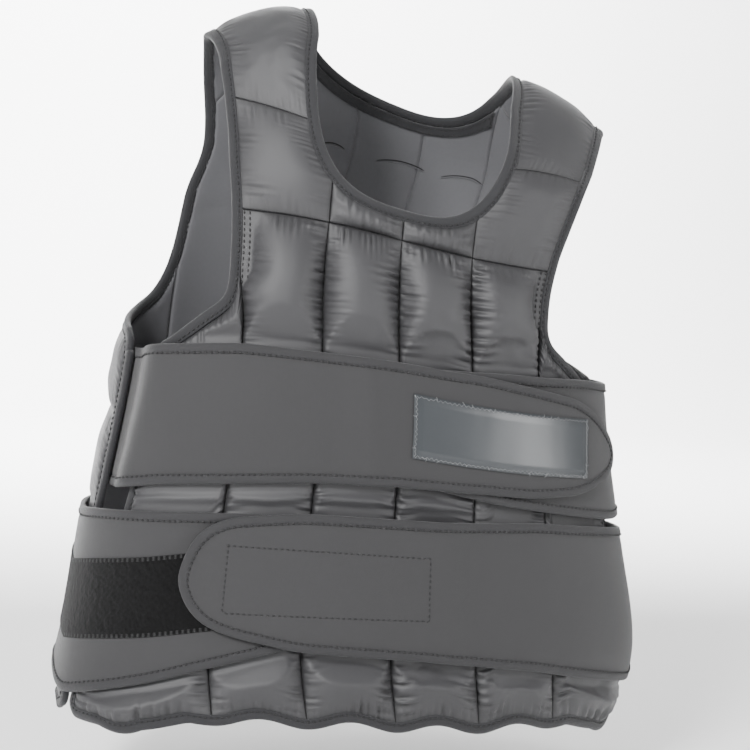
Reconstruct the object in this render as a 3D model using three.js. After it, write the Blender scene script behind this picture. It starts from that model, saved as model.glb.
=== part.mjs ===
// A weighted training vest in the shape it has when it is worn: a front and a back panel of stuffed
// weight channels over a thin lining, padded shoulders, bound edges and two wide hook-and-loop belts.
// Sizes are in millimetres. X runs to the right in a front view, Y to the back and Z up. The origin lies
// midway between the shoulders, at the height of the shoulder folds, where a body carries the vest.
// Cloth positions are given as on a sewing pattern: s runs across from the centre line, and t runs along
// from the shoulder fold, negative down the front and positive down the back. A depth is t without sign.
import * as THREE from "three";

// The body form under the lining.
const FORM_HEIGHT = 516;
const HEM_HALF_WIDTH = 214;
const SHOULDER_HALF_WIDTH = 170;
const FLARE_START = 145;
const FLARE_RUN = 411;
const HEM_HALF_DEPTH = 104;
const SHOULDER_HALF_DEPTH = 74;
const SHOULDER_ROUND = 120;
const SECTION_POWER = 2.4;

// The cut of the two panels.
const PANEL_LENGTH = 535;
const YOKE_SEAM = 189;
const PAD_SEAM_AT_NECK = 120;
const PAD_SEAM_AT_ARM = 98;
const BACK_PAD_SEAM_AT_ARM = 88;
const NECK_HALF_WIDTH = 71;
const NECK_AT_FOLD = 77;
const FRONT_NECK_DEPTH = 167;
const FRONT_NECK_STRAIGHT = 60;
const FRONT_NECK_POWER = 2.8;
const BACK_NECK_DEPTH = 75;
const BACK_NECK_POWER = 2.6;
const STRAP_OUTER = 154;
const FRONT_CHEST_HALF = 117.5;
const FRONT_ARM_DEPTH = 252;
const FRONT_SIDE_TOP = 278;
const FRONT_SIDE_AT_TOP = 172;
const FRONT_SIDE_AT_HEM = 240;
const FRONT_SIDE_POWER = 1.6;
const BACK_CHEST_HALF = 148;
const BACK_SIDE_TOP = 276;
const BACK_SIDE_AT_TOP = 240;
const BACK_SIDE_AT_HEM = 273;
const HEM_CORNER = 20;
const TIP_CORNER = 12;
const FRONT_TIP_RISE = 2;
const BACK_TIP_RISE = 3;
const HEM_DIP = 3;
const HEM_SIDE_DROP = 8;
const HEM_DROP_RUN = 60;

// The stuffed channels. The front has four full ones, the back has five, and each has one at either side.
const FRONT_CHANNEL_AT_YOKE = 51.5;
const FRONT_CHANNEL_AT_HEM = 64.5;
const BACK_CHANNEL_AT_TOP = 53;
const BACK_CHANNEL_AT_HEM = 59;
const FRONT_ROW = 112;
const BACK_FIRST_ROW_END = 186;
const BACK_ROW = 101;
const BACK_FLAP_IN_ROW = 0.4;
const PILLOW_HEIGHT = 17;
const PAD_HEIGHT = 8;
const YOKE_HEIGHT = 6;
const SEAM_THICKNESS = 2.4;
const FRONT_LAST_SEAM = 2;
const BACK_FIRST_SEAM = 0.5;
const BACK_LAST_SEAM = 2.5;

// Cloth, trim and clearances.
const LINING = 1.6;
const BINDING_WIDTH = 8;
const BINDING_OVER = 0.9;
const BAND_WIDTH = 8;
const BAND_THICKNESS = 1.4;
const LAYER_GAP = 0.3;
const SEAM_GAP = 0.5;
const BINDING_GAP = 1.8;
const BAND_GAP = 1;
const NECK_BINDING_GAP = 1.5;
const FRONT_ARM_CLEARANCE = 1.8;
const BACK_ARM_CLEARANCE = 4;
const BACK_SIDE_CLEARANCE = 3;

// The belts.
const BELT_WIDTH = 105;
const BELT_THICKNESS = 3.4;
const BELT_SEAT = 9;
const BELT_CLEARANCE = 2.9;
const BELT_STEP = 17;
const BELT_CLIMB = 30;
const TUCK_MARGIN = 5;
const TUCK_DEPTH = 3;
const LIFT_RUN = 40;
const OVER_CLEARANCE = 1;
const LABEL_GAP = 0.8;
const LOOP_GAP = 3.3;
const UPPER_BELT_LEVEL = 318;
const LOWER_BELT_LEVEL = 431;
const UPPER_OVER_REACH = 188;
const UPPER_UNDER_REACH = 330;
const LOWER_OVER_REACH = 330;
const LOWER_UNDER_REACH = 350;
const TUCKED_REACH = 312;
const LABEL_START = 6;
const LABEL_LENGTH = 140;
const LABEL_WIDTH = 45;
const LABEL_SLANT = 8;
const LABEL_THICKNESS = 1.5;
const LOOP_WIDTH = 55;
const LOOP_THICKNESS = 1.2;
const LOOP_START = -300;
const LOOP_END = -60;

// How the vest sits when it is worn: height is a share of the form's height, twist is in degrees, lean is
// a share of the hem's half width, tilt is how steeply one shoulder stands above the other, and sink is a
// share of the form's height.
const POSTURE = [
  { height: 0, twist: -5, lean: 0.082, tilt: 0.29, sink: 0.008 },
  { height: 0.08, twist: -7, lean: 0.07, tilt: 0.33, sink: 0.0015 },
  { height: 0.16, twist: -7, lean: 0.062, tilt: 0.2, sink: 0.0027 },
  { height: 0.26, twist: -4, lean: 0.022, tilt: 0.21, sink: 0.0027 },
  { height: 0.38, twist: 0, lean: -0.012, tilt: 0.14, sink: -0.0015 },
  { height: 0.52, twist: 3, lean: -0.013, tilt: 0.1, sink: 0 },
  { height: 0.7, twist: 1.5, lean: -0.003, tilt: 0.06, sink: -0.0017 },
  { height: 0.86, twist: 0.5, lean: 0.01, tilt: 0.035, sink: -0.0065 },
  { height: 1, twist: 8, lean: -0.016, tilt: 0.085, sink: -0.008 },
];
const TILT_REACH = 90;
const SHOULDER_SLOPE = 0.4;
const SLOPE_FADE_TOP = 40;
const SLOPE_FADE_END = 140;

// The armhole edges from the shoulder fold to the side, as {out, down} points.
const FRONT_ARMHOLE = [
  { out: STRAP_OUTER, down: 0 },
  { out: 1.2 * FRONT_CHEST_HALF, down: 0.24 * FRONT_ARM_DEPTH },
  { out: 1.1 * FRONT_CHEST_HALF, down: 0.5 * FRONT_ARM_DEPTH },
  { out: 1.015 * FRONT_CHEST_HALF, down: 0.74 * FRONT_ARM_DEPTH },
  { out: FRONT_CHEST_HALF, down: 0.89 * FRONT_ARM_DEPTH },
  { out: 1.03 * FRONT_CHEST_HALF, down: 0.975 * FRONT_ARM_DEPTH },
  { out: 1.17 * FRONT_CHEST_HALF, down: 1.03 * FRONT_ARM_DEPTH },
  { out: FRONT_SIDE_AT_TOP - TIP_CORNER, down: FRONT_SIDE_TOP - FRONT_TIP_RISE },
];
const BACK_ARMHOLE = [
  { out: STRAP_OUTER, down: 0 },
  { out: 1.025 * BACK_CHEST_HALF, down: 0.2 * BACK_SIDE_TOP },
  { out: BACK_CHEST_HALF, down: 0.4 * BACK_SIDE_TOP },
  { out: BACK_CHEST_HALF, down: 0.61 * BACK_SIDE_TOP },
  { out: BACK_CHEST_HALF, down: 0.79 * BACK_SIDE_TOP },
  { out: 1.07 * BACK_CHEST_HALF, down: 0.885 * BACK_SIDE_TOP },
  { out: 1.2 * BACK_CHEST_HALF, down: 0.932 * BACK_SIDE_TOP },
  { out: 1.38 * BACK_CHEST_HALF, down: 0.967 * BACK_SIDE_TOP },
  { out: BACK_SIDE_AT_TOP - TIP_CORNER, down: BACK_SIDE_TOP - BACK_TIP_RISE },
];

// Belt outlines. reach is a share of the belt's own reach, and drop and width are shares of BELT_WIDTH,
// drop being how far the middle of the belt lies below the belt's level.
const UPPER_OVER_BELT = [
  { reach: -TUCKED_REACH / UPPER_OVER_REACH, drop: 0.16, width: 0.92 },
  { reach: -1.04, drop: 0.15, width: 0.905 },
  { reach: -0.85, drop: 0.095, width: 0.876 },
  { reach: -0.585, drop: 0.048, width: 0.876 },
  { reach: -0.32, drop: 0.028, width: 0.83 },
  { reach: 0, drop: 0.005, width: 0.81 },
  { reach: 0.32, drop: 0.01, width: 0.8 },
  { reach: 0.53, drop: 0.043, width: 0.77 },
  { reach: 0.73, drop: 0.067, width: 0.686 },
  { reach: 0.85, drop: 0.095, width: 0.514 },
  { reach: 0.93, drop: 0.129, width: 0.314 },
  { reach: 0.98, drop: 0.133, width: 0.152 },
  { reach: 1, drop: 0.138, width: 0 },
];
const UPPER_UNDER_BELT = [
  { reach: -0.03, drop: 0, width: 0.48 },
  { reach: 0, drop: 0, width: 0.74 },
  { reach: 0.075, drop: 0.005, width: 0.8 },
  { reach: 0.23, drop: 0.029, width: 0.91 },
  { reach: 0.45, drop: 0.076, width: 0.99 },
  { reach: 0.56, drop: 0.12, width: 1 },
  { reach: 0.76, drop: 0.1, width: 1 },
  { reach: 1, drop: 0.095, width: 1 },
];
const LOWER_OVER_BELT = [
  { reach: -0.439, drop: 0.057, width: 0 },
  { reach: -0.433, drop: 0.052, width: 0.13 },
  { reach: -0.42, drop: 0.035, width: 0.38 },
  { reach: -0.391, drop: 0.02, width: 0.62 },
  { reach: -0.342, drop: 0.012, width: 0.76 },
  { reach: -0.2, drop: 0.024, width: 0.905 },
  { reach: 0.073, drop: 0.029, width: 0.952 },
  { reach: 0.324, drop: 0.057, width: 1.048 },
  { reach: 0.497, drop: 0.133, width: 1.105 },
  { reach: 0.65, drop: 0.215, width: 1.14 },
  { reach: 0.78, drop: 0.19, width: 1.08 },
  { reach: 1, drop: 0.15, width: 1.02 },
];
const LOWER_UNDER_BELT = [
  { reach: -1, drop: 0.2, width: 1.05 },
  { reach: -0.77, drop: 0.26, width: 1.12 },
  { reach: -0.68, drop: 0.335, width: 1.22 },
  { reach: -0.574, drop: 0.262, width: 1.17 },
  { reach: -0.474, drop: 0.2, width: 1.105 },
  { reach: -0.374, drop: 0.129, width: 1.02 },
  { reach: -0.28, drop: 0.071, width: 0.943 },
  { reach: -0.114, drop: -0.01, width: 0.76 },
  { reach: 0.03, drop: -0.02, width: 0.7 },
  { reach: 0.06, drop: -0.02, width: 0.42 },
];

const LOOKS = {
  satin: { color: 0x2b2b2e, roughness: 0.5, metalness: 0 },
  lining: { color: 0x1d1d20, roughness: 0.85, metalness: 0 },
  binding: { color: 0x232325, roughness: 0.8, metalness: 0 },
  neoprene: { color: 0x2a2a2c, roughness: 0.78, metalness: 0 },
  loop: { color: 0x0e0e0f, roughness: 1, metalness: 0 },
  label: { color: 0x2c3033, roughness: 0.35, metalness: 0 },
};

const FRONT = -1;
const BACK = 1;
const clamp = (value, low, high) => Math.min(high, Math.max(low, value));
const mix = (a, b, share) => a + (b - a) * share;
const smooth = (share) => THREE.MathUtils.smoothstep(share, 0, 1);
const evenShares = (count) => Array.from({ length: count + 1 }, (_, i) => i / count);

// The value of one column of a table at a place along another, in straight stretches.
function tableAt(table, keyColumn, key, column) {
  const rows = table.at(-1)[keyColumn] > table[0][keyColumn] ? table : [...table].reverse();
  const next = rows.findIndex((row) => row[keyColumn] >= key);
  if (next === 0) return rows[0][column];
  if (next < 0) return rows.at(-1)[column];
  const [a, b] = [rows[next - 1], rows[next]];
  return mix(a[column], b[column], (key - a[keyColumn]) / (b[keyColumn] - a[keyColumn]));
}

// The same with a smooth curve through the rows, level past the table's ends.
function easedAt(table, keyColumn, key, column) {
  const held = clamp(key, table[0][keyColumn], table.at(-1)[keyColumn]);
  const next = Math.max(1, table.findIndex((row) => row[keyColumn] >= held));
  const [a, b] = [table[next - 1], table[next]];
  const slopeAt = (i) => (i === 0 || i === table.length - 1 ? 0
    : (table[i + 1][column] - table[i - 1][column]) / (table[i + 1][keyColumn] - table[i - 1][keyColumn]));
  const run = b[keyColumn] - a[keyColumn];
  const u = (held - a[keyColumn]) / run;
  return a[column] * (1 + 2 * u) * (1 - u) ** 2 + run * slopeAt(next - 1) * u * (1 - u) ** 2
    + b[column] * u * u * (3 - 2 * u) + run * slopeAt(next) * u * u * (u - 1);
}

// The two rows on either side of a key in a list that rises in that key, with the share between them.
function bracket(rows, column, key) {
  let low = 0;
  let high = rows.length - 1;
  while (high - low > 1) {
    const middle = (low + high) >> 1;
    if (rows[middle][column] < key) low = middle;
    else high = middle;
  }
  const [a, b] = [rows[low], rows[high]];
  return { a, b, share: clamp((key - a[column]) / (b[column] - a[column] || 1), 0, 1) };
}

// The form's half width and half depth at a height. The depth closes to nothing at the shoulder fold.
const BEYOND_HEM = 1.2;
function formHalfSizes(z) {
  const down = clamp(-z / FORM_HEIGHT, 0, BEYOND_HEM);
  const round = clamp(-z / SHOULDER_ROUND, 0, 1);
  return {
    halfWidth: mix(SHOULDER_HALF_WIDTH, HEM_HALF_WIDTH, smooth((-z - FLARE_START) / FLARE_RUN)),
    halfDepth: mix(SHOULDER_HALF_DEPTH, HEM_HALF_DEPTH, down) * Math.sqrt(round * (2 - round)),
  };
}

// Heights along the form's side profile, from the shoulder fold down.
const PROFILE_STEPS = 300;
const profile = [{ run: 0, z: 0, depth: 0 }];
for (let i = 1; i <= 2 * PROFILE_STEPS; i += 1) {
  const share = i / PROFILE_STEPS;
  const z = share <= 1 ? -SHOULDER_ROUND * share * share
    : -mix(SHOULDER_ROUND, FORM_HEIGHT * BEYOND_HEM, share - 1);
  const depth = formHalfSizes(z).halfDepth;
  const last = profile.at(-1);
  profile.push({ run: last.run + Math.hypot(z - last.z, depth - last.depth), z, depth });
}

// A quarter of the level section at a depth down the pattern, with its running length from the centre.
const SECTION_STEPS = 120;
const sections = new Map();
function quarterSection(depth) {
  const key = depth.toFixed(4);
  if (sections.has(key)) return sections.get(key);
  const { a: above, b: below, share: down } = bracket(profile, "run", depth);
  const z = mix(above.z, below.z, down);
  const { halfWidth, halfDepth } = formHalfSizes(z);
  const points = [{ run: 0, x: 0, y: halfDepth, z }];
  for (let i = 1; i <= SECTION_STEPS; i += 1) {
    const angle = (Math.PI / 2) * (i / SECTION_STEPS);
    const x = halfWidth * Math.sin(angle) ** (2 / SECTION_POWER);
    const y = halfDepth * Math.max(0, Math.cos(angle)) ** (2 / SECTION_POWER);
    const last = points.at(-1);
    points.push({ run: last.run + Math.hypot(x - last.x, y - last.y), x, y, z });
  }
  sections.set(key, points);
  return points;
}
const quarterLength = (depth) => quarterSection(depth).at(-1).run;

// A point of the form under a place on the pattern. Past the side it runs on round the other half.
function formPoint(s, t) {
  const points = quarterSection(Math.abs(t));
  const quarter = points.at(-1).run;
  const past = Math.abs(s) > quarter;
  const { a, b, share } = bracket(points, "run", past ? 2 * quarter - Math.abs(s) : Math.abs(s));
  const facing = (t > 0 ? 1 : -1) * (past ? -1 : 1);
  return new THREE.Vector3(Math.sign(s) * mix(a.x, b.x, share), facing * mix(a.y, b.y, share), a.z);
}

// The lean, twist and uneven shoulders of the worn vest.
function inPosture(point) {
  const height = -point.z / FORM_HEIGHT;
  const at = (column) => easedAt(POSTURE, "height", height, column);
  const fade = clamp((point.z + SLOPE_FADE_END) / (SLOPE_FADE_END - SLOPE_FADE_TOP), 0, 1);
  const slope = SHOULDER_SLOPE * Math.max(Math.abs(point.x) - NECK_HALF_WIDTH, 0) * fade;
  const uneven = at("tilt") * TILT_REACH * Math.tanh(point.x / TILT_REACH);
  const turned = point.clone().applyAxisAngle(
    new THREE.Vector3(0, 0, 1),
    THREE.MathUtils.degToRad(at("twist")),
  );
  turned.x += at("lean") * HEM_HALF_WIDTH;
  turned.z -= slope + uneven + at("sink") * FORM_HEIGHT;
  return turned;
}

// A point of the vest: a place on the pattern, lifted off the form by a height.
const PROBE = 0.5;
function place(s, t, lift) {
  const across = formPoint(s + PROBE, t).sub(formPoint(s - PROBE, t));
  const along = formPoint(s, t + PROBE).sub(formPoint(s, t - PROBE));
  const outward = across.cross(along).normalize();
  return inPosture(formPoint(s, t).addScaledVector(outward, lift));
}

// One closed solid from grids of pattern points {s, t, low, high}. Grids that share an edge share its
// points. Triangles run counterclockwise on the pattern, which faces them outwards.
const SAME_POINT = 0.005;
function sheetSolid(grids) {
  const ids = new Map();
  const corners = [];
  const idOf = (point) => {
    const key = Math.round(point.s / SAME_POINT) + "," + Math.round(point.t / SAME_POINT);
    if (!ids.has(key)) {
      ids.set(key, corners.length);
      corners.push(point);
    }
    return ids.get(key);
  };
  const faces = [];
  const addFace = (a, b, c) => {
    if (a === b || b === c || a === c) return;
    const [p, q, r] = [corners[a], corners[b], corners[c]];
    const area = (q.s - p.s) * (r.t - p.t) - (r.s - p.s) * (q.t - p.t);
    faces.push(area > 0 ? [a, b, c] : [a, c, b]);
  };
  for (const grid of grids) {
    const known = grid.map((row) => row.map(idOf));
    for (let j = 0; j + 1 < known.length; j += 1) {
      for (let i = 0; i + 1 < known[j].length; i += 1) {
        addFace(known[j][i], known[j][i + 1], known[j + 1][i + 1]);
        addFace(known[j][i], known[j + 1][i + 1], known[j + 1][i]);
      }
    }
  }
  const used = new Set(faces.flatMap(([a, b, c]) => [a + "," + b, b + "," + c, c + "," + a]));
  const outer = corners.map((point) => place(point.s, point.t, point.high));
  const inner = corners.map((point) => place(point.s, point.t, point.low));
  const triangles = [];
  for (const [a, b, c] of faces) {
    triangles.push([outer[a], outer[b], outer[c]], [inner[a], inner[c], inner[b]]);
    for (const [from, to] of [[a, b], [b, c], [c, a]]) {
      if (used.has(to + "," + from)) continue;
      triangles.push([outer[from], inner[from], inner[to]], [outer[from], inner[to], outer[to]]);
    }
  }
  const positions = triangles.flat().flatMap((v) => [v.x, v.y, v.z]);
  return new THREE.BufferGeometry().setAttribute(
    "position",
    new THREE.Float32BufferAttribute(positions, 3),
  );
}

const group = new THREE.Group();
function addPiece(name, grids, look) {
  const geometry = sheetSolid(grids);
  geometry.computeVertexNormals();
  const mesh = new THREE.Mesh(geometry, new THREE.MeshStandardMaterial(LOOKS[look]));
  mesh.name = name;
  group.add(mesh);
}

// Shares across a channel's grid, which crowd towards the seams, where the cloth turns in.
const ACROSS = [0, 0.16, 0.5, 0.84, 1];
const BEYOND_LAST_SEAM = [0.3, 0.16];
const ACROSS_SIDE = [0, 0.25, 0.5, 0.75, 1];

// Places along the hem from the last seam's far side to the centre line, the same as in the channels' grids.
function hemStops(side) {
  const pitch = side === FRONT ? FRONT_CHANNEL_AT_HEM : BACK_CHANNEL_AT_HEM;
  const firstSeam = side === FRONT ? 0 : -BACK_FIRST_SEAM;
  const lastSeam = side === FRONT ? FRONT_LAST_SEAM : BACK_LAST_SEAM;
  const stops = BEYOND_LAST_SEAM.map((share) => lastSeam + share);
  for (let seam = lastSeam; seam > firstSeam; seam -= 1) {
    ACROSS.slice(1).reverse().forEach((share) => stops.push(seam - 1 + share));
  }
  if (side === FRONT) stops.push(0);
  return stops.filter((stop) => stop > -1e-9).map((stop) => stop * pitch);
}

// How far out a panel's side edge lies at a depth.
function sideEdge(side, depth) {
  if (side === BACK) {
    const down = (depth - BACK_SIDE_TOP) / (PANEL_LENGTH - BACK_SIDE_TOP);
    return mix(BACK_SIDE_AT_TOP, BACK_SIDE_AT_HEM, down);
  }
  const down = clamp((depth - FRONT_SIDE_TOP) / (PANEL_LENGTH - FRONT_SIDE_TOP), 0, 2);
  return mix(FRONT_SIDE_AT_TOP, FRONT_SIDE_AT_HEM, down ** FRONT_SIDE_POWER);
}

// The hem hangs lower towards the sides.
function hemLevel(side, out) {
  const lastSeam = side === FRONT
    ? FRONT_LAST_SEAM * FRONT_CHANNEL_AT_HEM : BACK_LAST_SEAM * BACK_CHANNEL_AT_HEM;
  return PANEL_LENGTH + HEM_SIDE_DROP * smooth((out - lastSeam) / HEM_DROP_RUN);
}

// The outer edge of one half of a panel, from the shoulder fold down the armhole and the side and along
// the hem to the centre line. Its corners are numbered, so that the edge moved inwards keeps them.
const FRONT_ARM_STEPS = 18;
const BACK_ARM_STEPS = 26;
const SIDE_STEPS = 8;
const CORNER_ANGLES = [30, 60, 90];
function halfOutline(side) {
  const front = side === FRONT;
  const armhole = front ? FRONT_ARMHOLE : BACK_ARMHOLE;
  const curve = new THREE.SplineCurve(armhole.map((row) => new THREE.Vector2(row.out, row.down)));
  const points = curve.getSpacedPoints(front ? FRONT_ARM_STEPS : BACK_ARM_STEPS);
  const sideTop = front ? FRONT_SIDE_TOP : BACK_SIDE_TOP;
  const atTop = front ? FRONT_SIDE_AT_TOP : BACK_SIDE_AT_TOP;
  const edgeAt = (down) => sideEdge(side, down);
  points.push(new THREE.Vector2(atTop - 0.25 * TIP_CORNER, sideTop + 0.3 * TIP_CORNER));
  const sideStart = points.length;
  const sideEndDown = hemLevel(side, Infinity) - HEM_CORNER;
  for (const share of evenShares(SIDE_STEPS)) {
    const down = mix(sideTop + TIP_CORNER, sideEndDown, share);
    points.push(new THREE.Vector2(edgeAt(down), down));
  }
  const sideEnd = points.length - 1;
  for (const angle of CORNER_ANGLES.map(THREE.MathUtils.degToRad)) {
    points.push(new THREE.Vector2(
      edgeAt(sideEndDown) - HEM_CORNER * (1 - Math.cos(angle)),
      sideEndDown + HEM_CORNER * Math.sin(angle),
    ));
  }
  const hemStart = points.length - 1;
  hemStops(side).forEach((out) => points.push(new THREE.Vector2(out, hemLevel(side, out))));
  return { points, sideStart, sideEnd, hemStart };
}
const outlines = { [FRONT]: halfOutline(FRONT), [BACK]: halfOutline(BACK) };

// The hem hangs lower at each channel seam than between the seams.
function hemWave(side, out) {
  const seams = side === FRONT ? out / FRONT_CHANNEL_AT_HEM : out / BACK_CHANNEL_AT_HEM + BACK_FIRST_SEAM;
  const wave = Math.cos(2 * Math.PI * seams);
  const past = seams > (side === FRONT ? FRONT_LAST_SEAM : BACK_LAST_SEAM + BACK_FIRST_SEAM);
  return HEM_DIP * (past ? Math.max(wave, 0) : wave);
}

// The outline moved into the cloth by a distance, as {out, down} points.
function insetOutline(side, inset) {
  const { points, hemStart } = outlines[side];
  return points.map((point, i) => {
    const before = points[Math.max(0, i - 1)];
    const after = points[Math.min(points.length - 1, i + 1)];
    const run = i === 0 ? new THREE.Vector2(0, 1) : after.clone().sub(before).normalize();
    const wave = i > hemStart ? hemWave(side, point.x) : 0;
    const out = i === points.length - 1 ? 0 : point.x - run.y * inset;
    return { out, down: point.y + run.x * inset + wave };
  });
}
const clothInset = BINDING_WIDTH + BINDING_GAP;
const neckInset = BINDING_WIDTH + NECK_BINDING_GAP;
const clothEdges = { [FRONT]: insetOutline(FRONT, clothInset), [BACK]: insetOutline(BACK, clothInset) };

// A stretch of an edge by share of its length, between two places given as index and share.
function stretch(points, from, to) {
  const at = (place) => {
    const i = Math.min(Math.floor(place), points.length - 2);
    const share = place - i;
    return {
      out: mix(points[i].out, points[i + 1].out, share),
      down: mix(points[i].down, points[i + 1].down, share),
    };
  };
  const inner = points.slice(Math.floor(from) + 1, Math.ceil(to));
  const path = [at(from), ...inner, at(to)];
  const runs = [0];
  for (let i = 1; i < path.length; i += 1) {
    runs.push(runs[i - 1] + Math.hypot(path[i].out - path[i - 1].out, path[i].down - path[i - 1].down));
  }
  const rows = path.map((point, i) => ({ ...point, run: runs[i] }));
  return (share) => {
    const { a, b, share: between } = bracket(rows, "run", share * runs.at(-1));
    return { out: mix(a.out, b.out, between), down: mix(a.down, b.down, between) };
  };
}

// The place along an edge, as index and share, where it reaches a value of out or down.
function placeOf(points, column, value, from, to) {
  for (let i = from; i < to; i += 1) {
    const [a, b] = [points[i][column], points[i + 1][column]];
    if ((a - value) * (b - value) <= 0 && a !== b) return i + (value - a) / (b - a);
  }
  throw new Error("the edge never reaches " + column + " " + value);
}
function edgeOut(side, down) {
  const points = clothEdges[side];
  const place = placeOf(points, "down", down, 0, outlines[side].sideStart);
  const i = Math.floor(place);
  return mix(points[i].out, points[i + 1].out, place - i);
}
function hemDown(side, out) {
  const points = clothEdges[side];
  const place = placeOf(points, "out", out, outlines[side].sideEnd, points.length - 1);
  const i = Math.min(Math.floor(place), points.length - 2);
  return mix(points[i].down, points[i + 1].down, place - i);
}

// The neck opening grown by a margin: half width at a depth, and depth at a half width.
const neckShape = {
  [FRONT]: { depth: FRONT_NECK_DEPTH, straight: FRONT_NECK_STRAIGHT, power: FRONT_NECK_POWER },
  [BACK]: { depth: BACK_NECK_DEPTH, straight: 0, power: BACK_NECK_POWER },
};
function neckWidest(side, depth) {
  if (side === BACK) return NECK_AT_FOLD;
  return mix(NECK_AT_FOLD, NECK_HALF_WIDTH, clamp(depth / FRONT_NECK_STRAIGHT, 0, 1));
}
function neckHalf(side, depth, grow) {
  const { depth: full, straight, power } = neckShape[side];
  const share = clamp((depth - straight) / (full - straight + grow), 0, 1);
  return (neckWidest(side, depth) + grow) * (1 - share ** power) ** (1 / power);
}
function neckDepth(side, half, grow) {
  const { depth: full, straight, power } = neckShape[side];
  const share = clamp(half / (neckWidest(side, full) + grow), 0, 1);
  return straight + (full - straight + grow) * (1 - share ** power) ** (1 / power);
}

// A patch between four edges. Each edge gives {out, down} for a share along it, inner and outer from top
// to bottom, top and bottom from inner to outer.
function patchBetween({ inner, outer, top, bottom }) {
  return (u, v) => {
    const [l, r, t, b] = [inner(v), outer(v), top(u), bottom(u)];
    const [tl, tr, bl, br] = [inner(0), outer(0), inner(1), outer(1)];
    const blend = (key) => mix(l[key], r[key], u) + mix(t[key], b[key], v)
      - mix(mix(tl[key], tr[key], u), mix(bl[key], br[key], u), v);
    return { out: blend("out"), down: blend("down") };
  };
}

// Straight edge between two points.
const straightEdge = (from, to) => (share) => ({
  out: mix(from.out, to.out, share),
  down: mix(from.down, to.down, share),
});

// Belts. Edges are distances down the pattern at a place round the body.
const upperOver = { outline: UPPER_OVER_BELT, reach: UPPER_OVER_REACH, level: UPPER_BELT_LEVEL };
const upperUnder = { outline: UPPER_UNDER_BELT, reach: UPPER_UNDER_REACH, level: UPPER_BELT_LEVEL };
const lowerOver = { outline: LOWER_OVER_BELT, reach: LOWER_OVER_REACH, level: LOWER_BELT_LEVEL };
const lowerUnder = { outline: LOWER_UNDER_BELT, reach: LOWER_UNDER_REACH, level: LOWER_BELT_LEVEL };
function beltRow(belt, s) {
  const reach = s / belt.reach;
  const middle = belt.level + BELT_WIDTH * tableAt(belt.outline, "reach", reach, "drop");
  const half = (BELT_WIDTH / 2) * tableAt(belt.outline, "reach", reach, "width");
  return { top: middle - half, bottom: middle + half };
}
const beltEnds = (belt) => [belt.outline[0].reach * belt.reach, belt.outline.at(-1).reach * belt.reach];

// Where the back panel's side edge lies on the way round from the front.
const backEdgeRound = (depth) => 2 * quarterLength(depth) - sideEdge(BACK, depth);

// How far the inner face of each belt lies off the form. The tucked end of the upper belt passes inside
// the back panel, and an upper layer rises over the layer below it.
const overLayer = BELT_THICKNESS + LOOP_THICKNESS + LOOP_GAP + OVER_CLEARANCE + LAYER_GAP;
function beltLift(belt, s, depth) {
  if (belt === upperOver) {
    const [underEnd] = beltEnds(upperUnder);
    const tucked = -TUCK_DEPTH - BELT_THICKNESS;
    const clear = backEdgeRound(depth) - TUCK_MARGIN + s;
    const climbed = mix(tucked, BELT_SEAT, smooth(clear / BELT_CLIMB));
    const onto = smooth((s - underEnd + LIFT_RUN) / (0.7 * LIFT_RUN));
    return climbed + (BELT_THICKNESS + OVER_CLEARANCE + LAYER_GAP) * onto;
  }
  if (belt === lowerOver) {
    const underEnd = beltEnds(lowerUnder)[1];
    return BELT_SEAT + overLayer * smooth((underEnd + LIFT_RUN - s) / (0.7 * LIFT_RUN));
  }
  return BELT_SEAT;
}

// The stuffing stays below the belts where one crosses a channel, and swells past the belts' edges.
const SWELL_MARGIN = 6;
const SWELL_SLOPE = 0.55;
function roomAt(side, s, depth) {
  const round = side === FRONT ? s : Math.sign(s || 1) * (2 * quarterLength(depth) - Math.abs(s));
  let clear = Infinity;
  for (const belt of [upperOver, upperUnder, lowerOver, lowerUnder]) {
    if (belt === upperOver && round < -backEdgeRound(depth)) continue;
    const [start, end] = beltEnds(belt);
    const outside = Math.max(start - round, round - end, 0);
    const { top, bottom } = beltRow(belt, round);
    clear = Math.min(clear, Math.hypot(outside, Math.max(top - depth, depth - bottom, 0)));
  }
  return BELT_SEAT - BELT_CLEARANCE + SWELL_SLOPE * Math.max(0, clear - SWELL_MARGIN);
}

// Stuffed pieces.
const CROWN_POWER = 2.6;
const crown = (share) => 1 - Math.abs(2 * share - 1) ** CROWN_POWER;
const shellBase = LINING + LAYER_GAP;

// Shares down a channel and the fullness of its pockets, from the depths of its cross seams as shares.
function pocketRows(seams, inRow) {
  const shares = [0];
  for (let i = 0; i + 1 < seams.length; i += 1) {
    inRow[i].slice(1).forEach((share) => shares.push(mix(seams[i], seams[i + 1], share)));
  }
  const fullness = (v) => {
    const i = clamp(seams.findIndex((seam) => seam >= v - 1e-9) - 1, 0, seams.length - 2);
    return crown(clamp((v - seams[i]) / (seams[i + 1] - seams[i]), 0, 1));
  };
  return { shares, fullness };
}

// Stuffed pieces and lining are both laid over the same patches. sign is the half of the vest.
const linings = { [FRONT]: [], [BACK]: [] };

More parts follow.
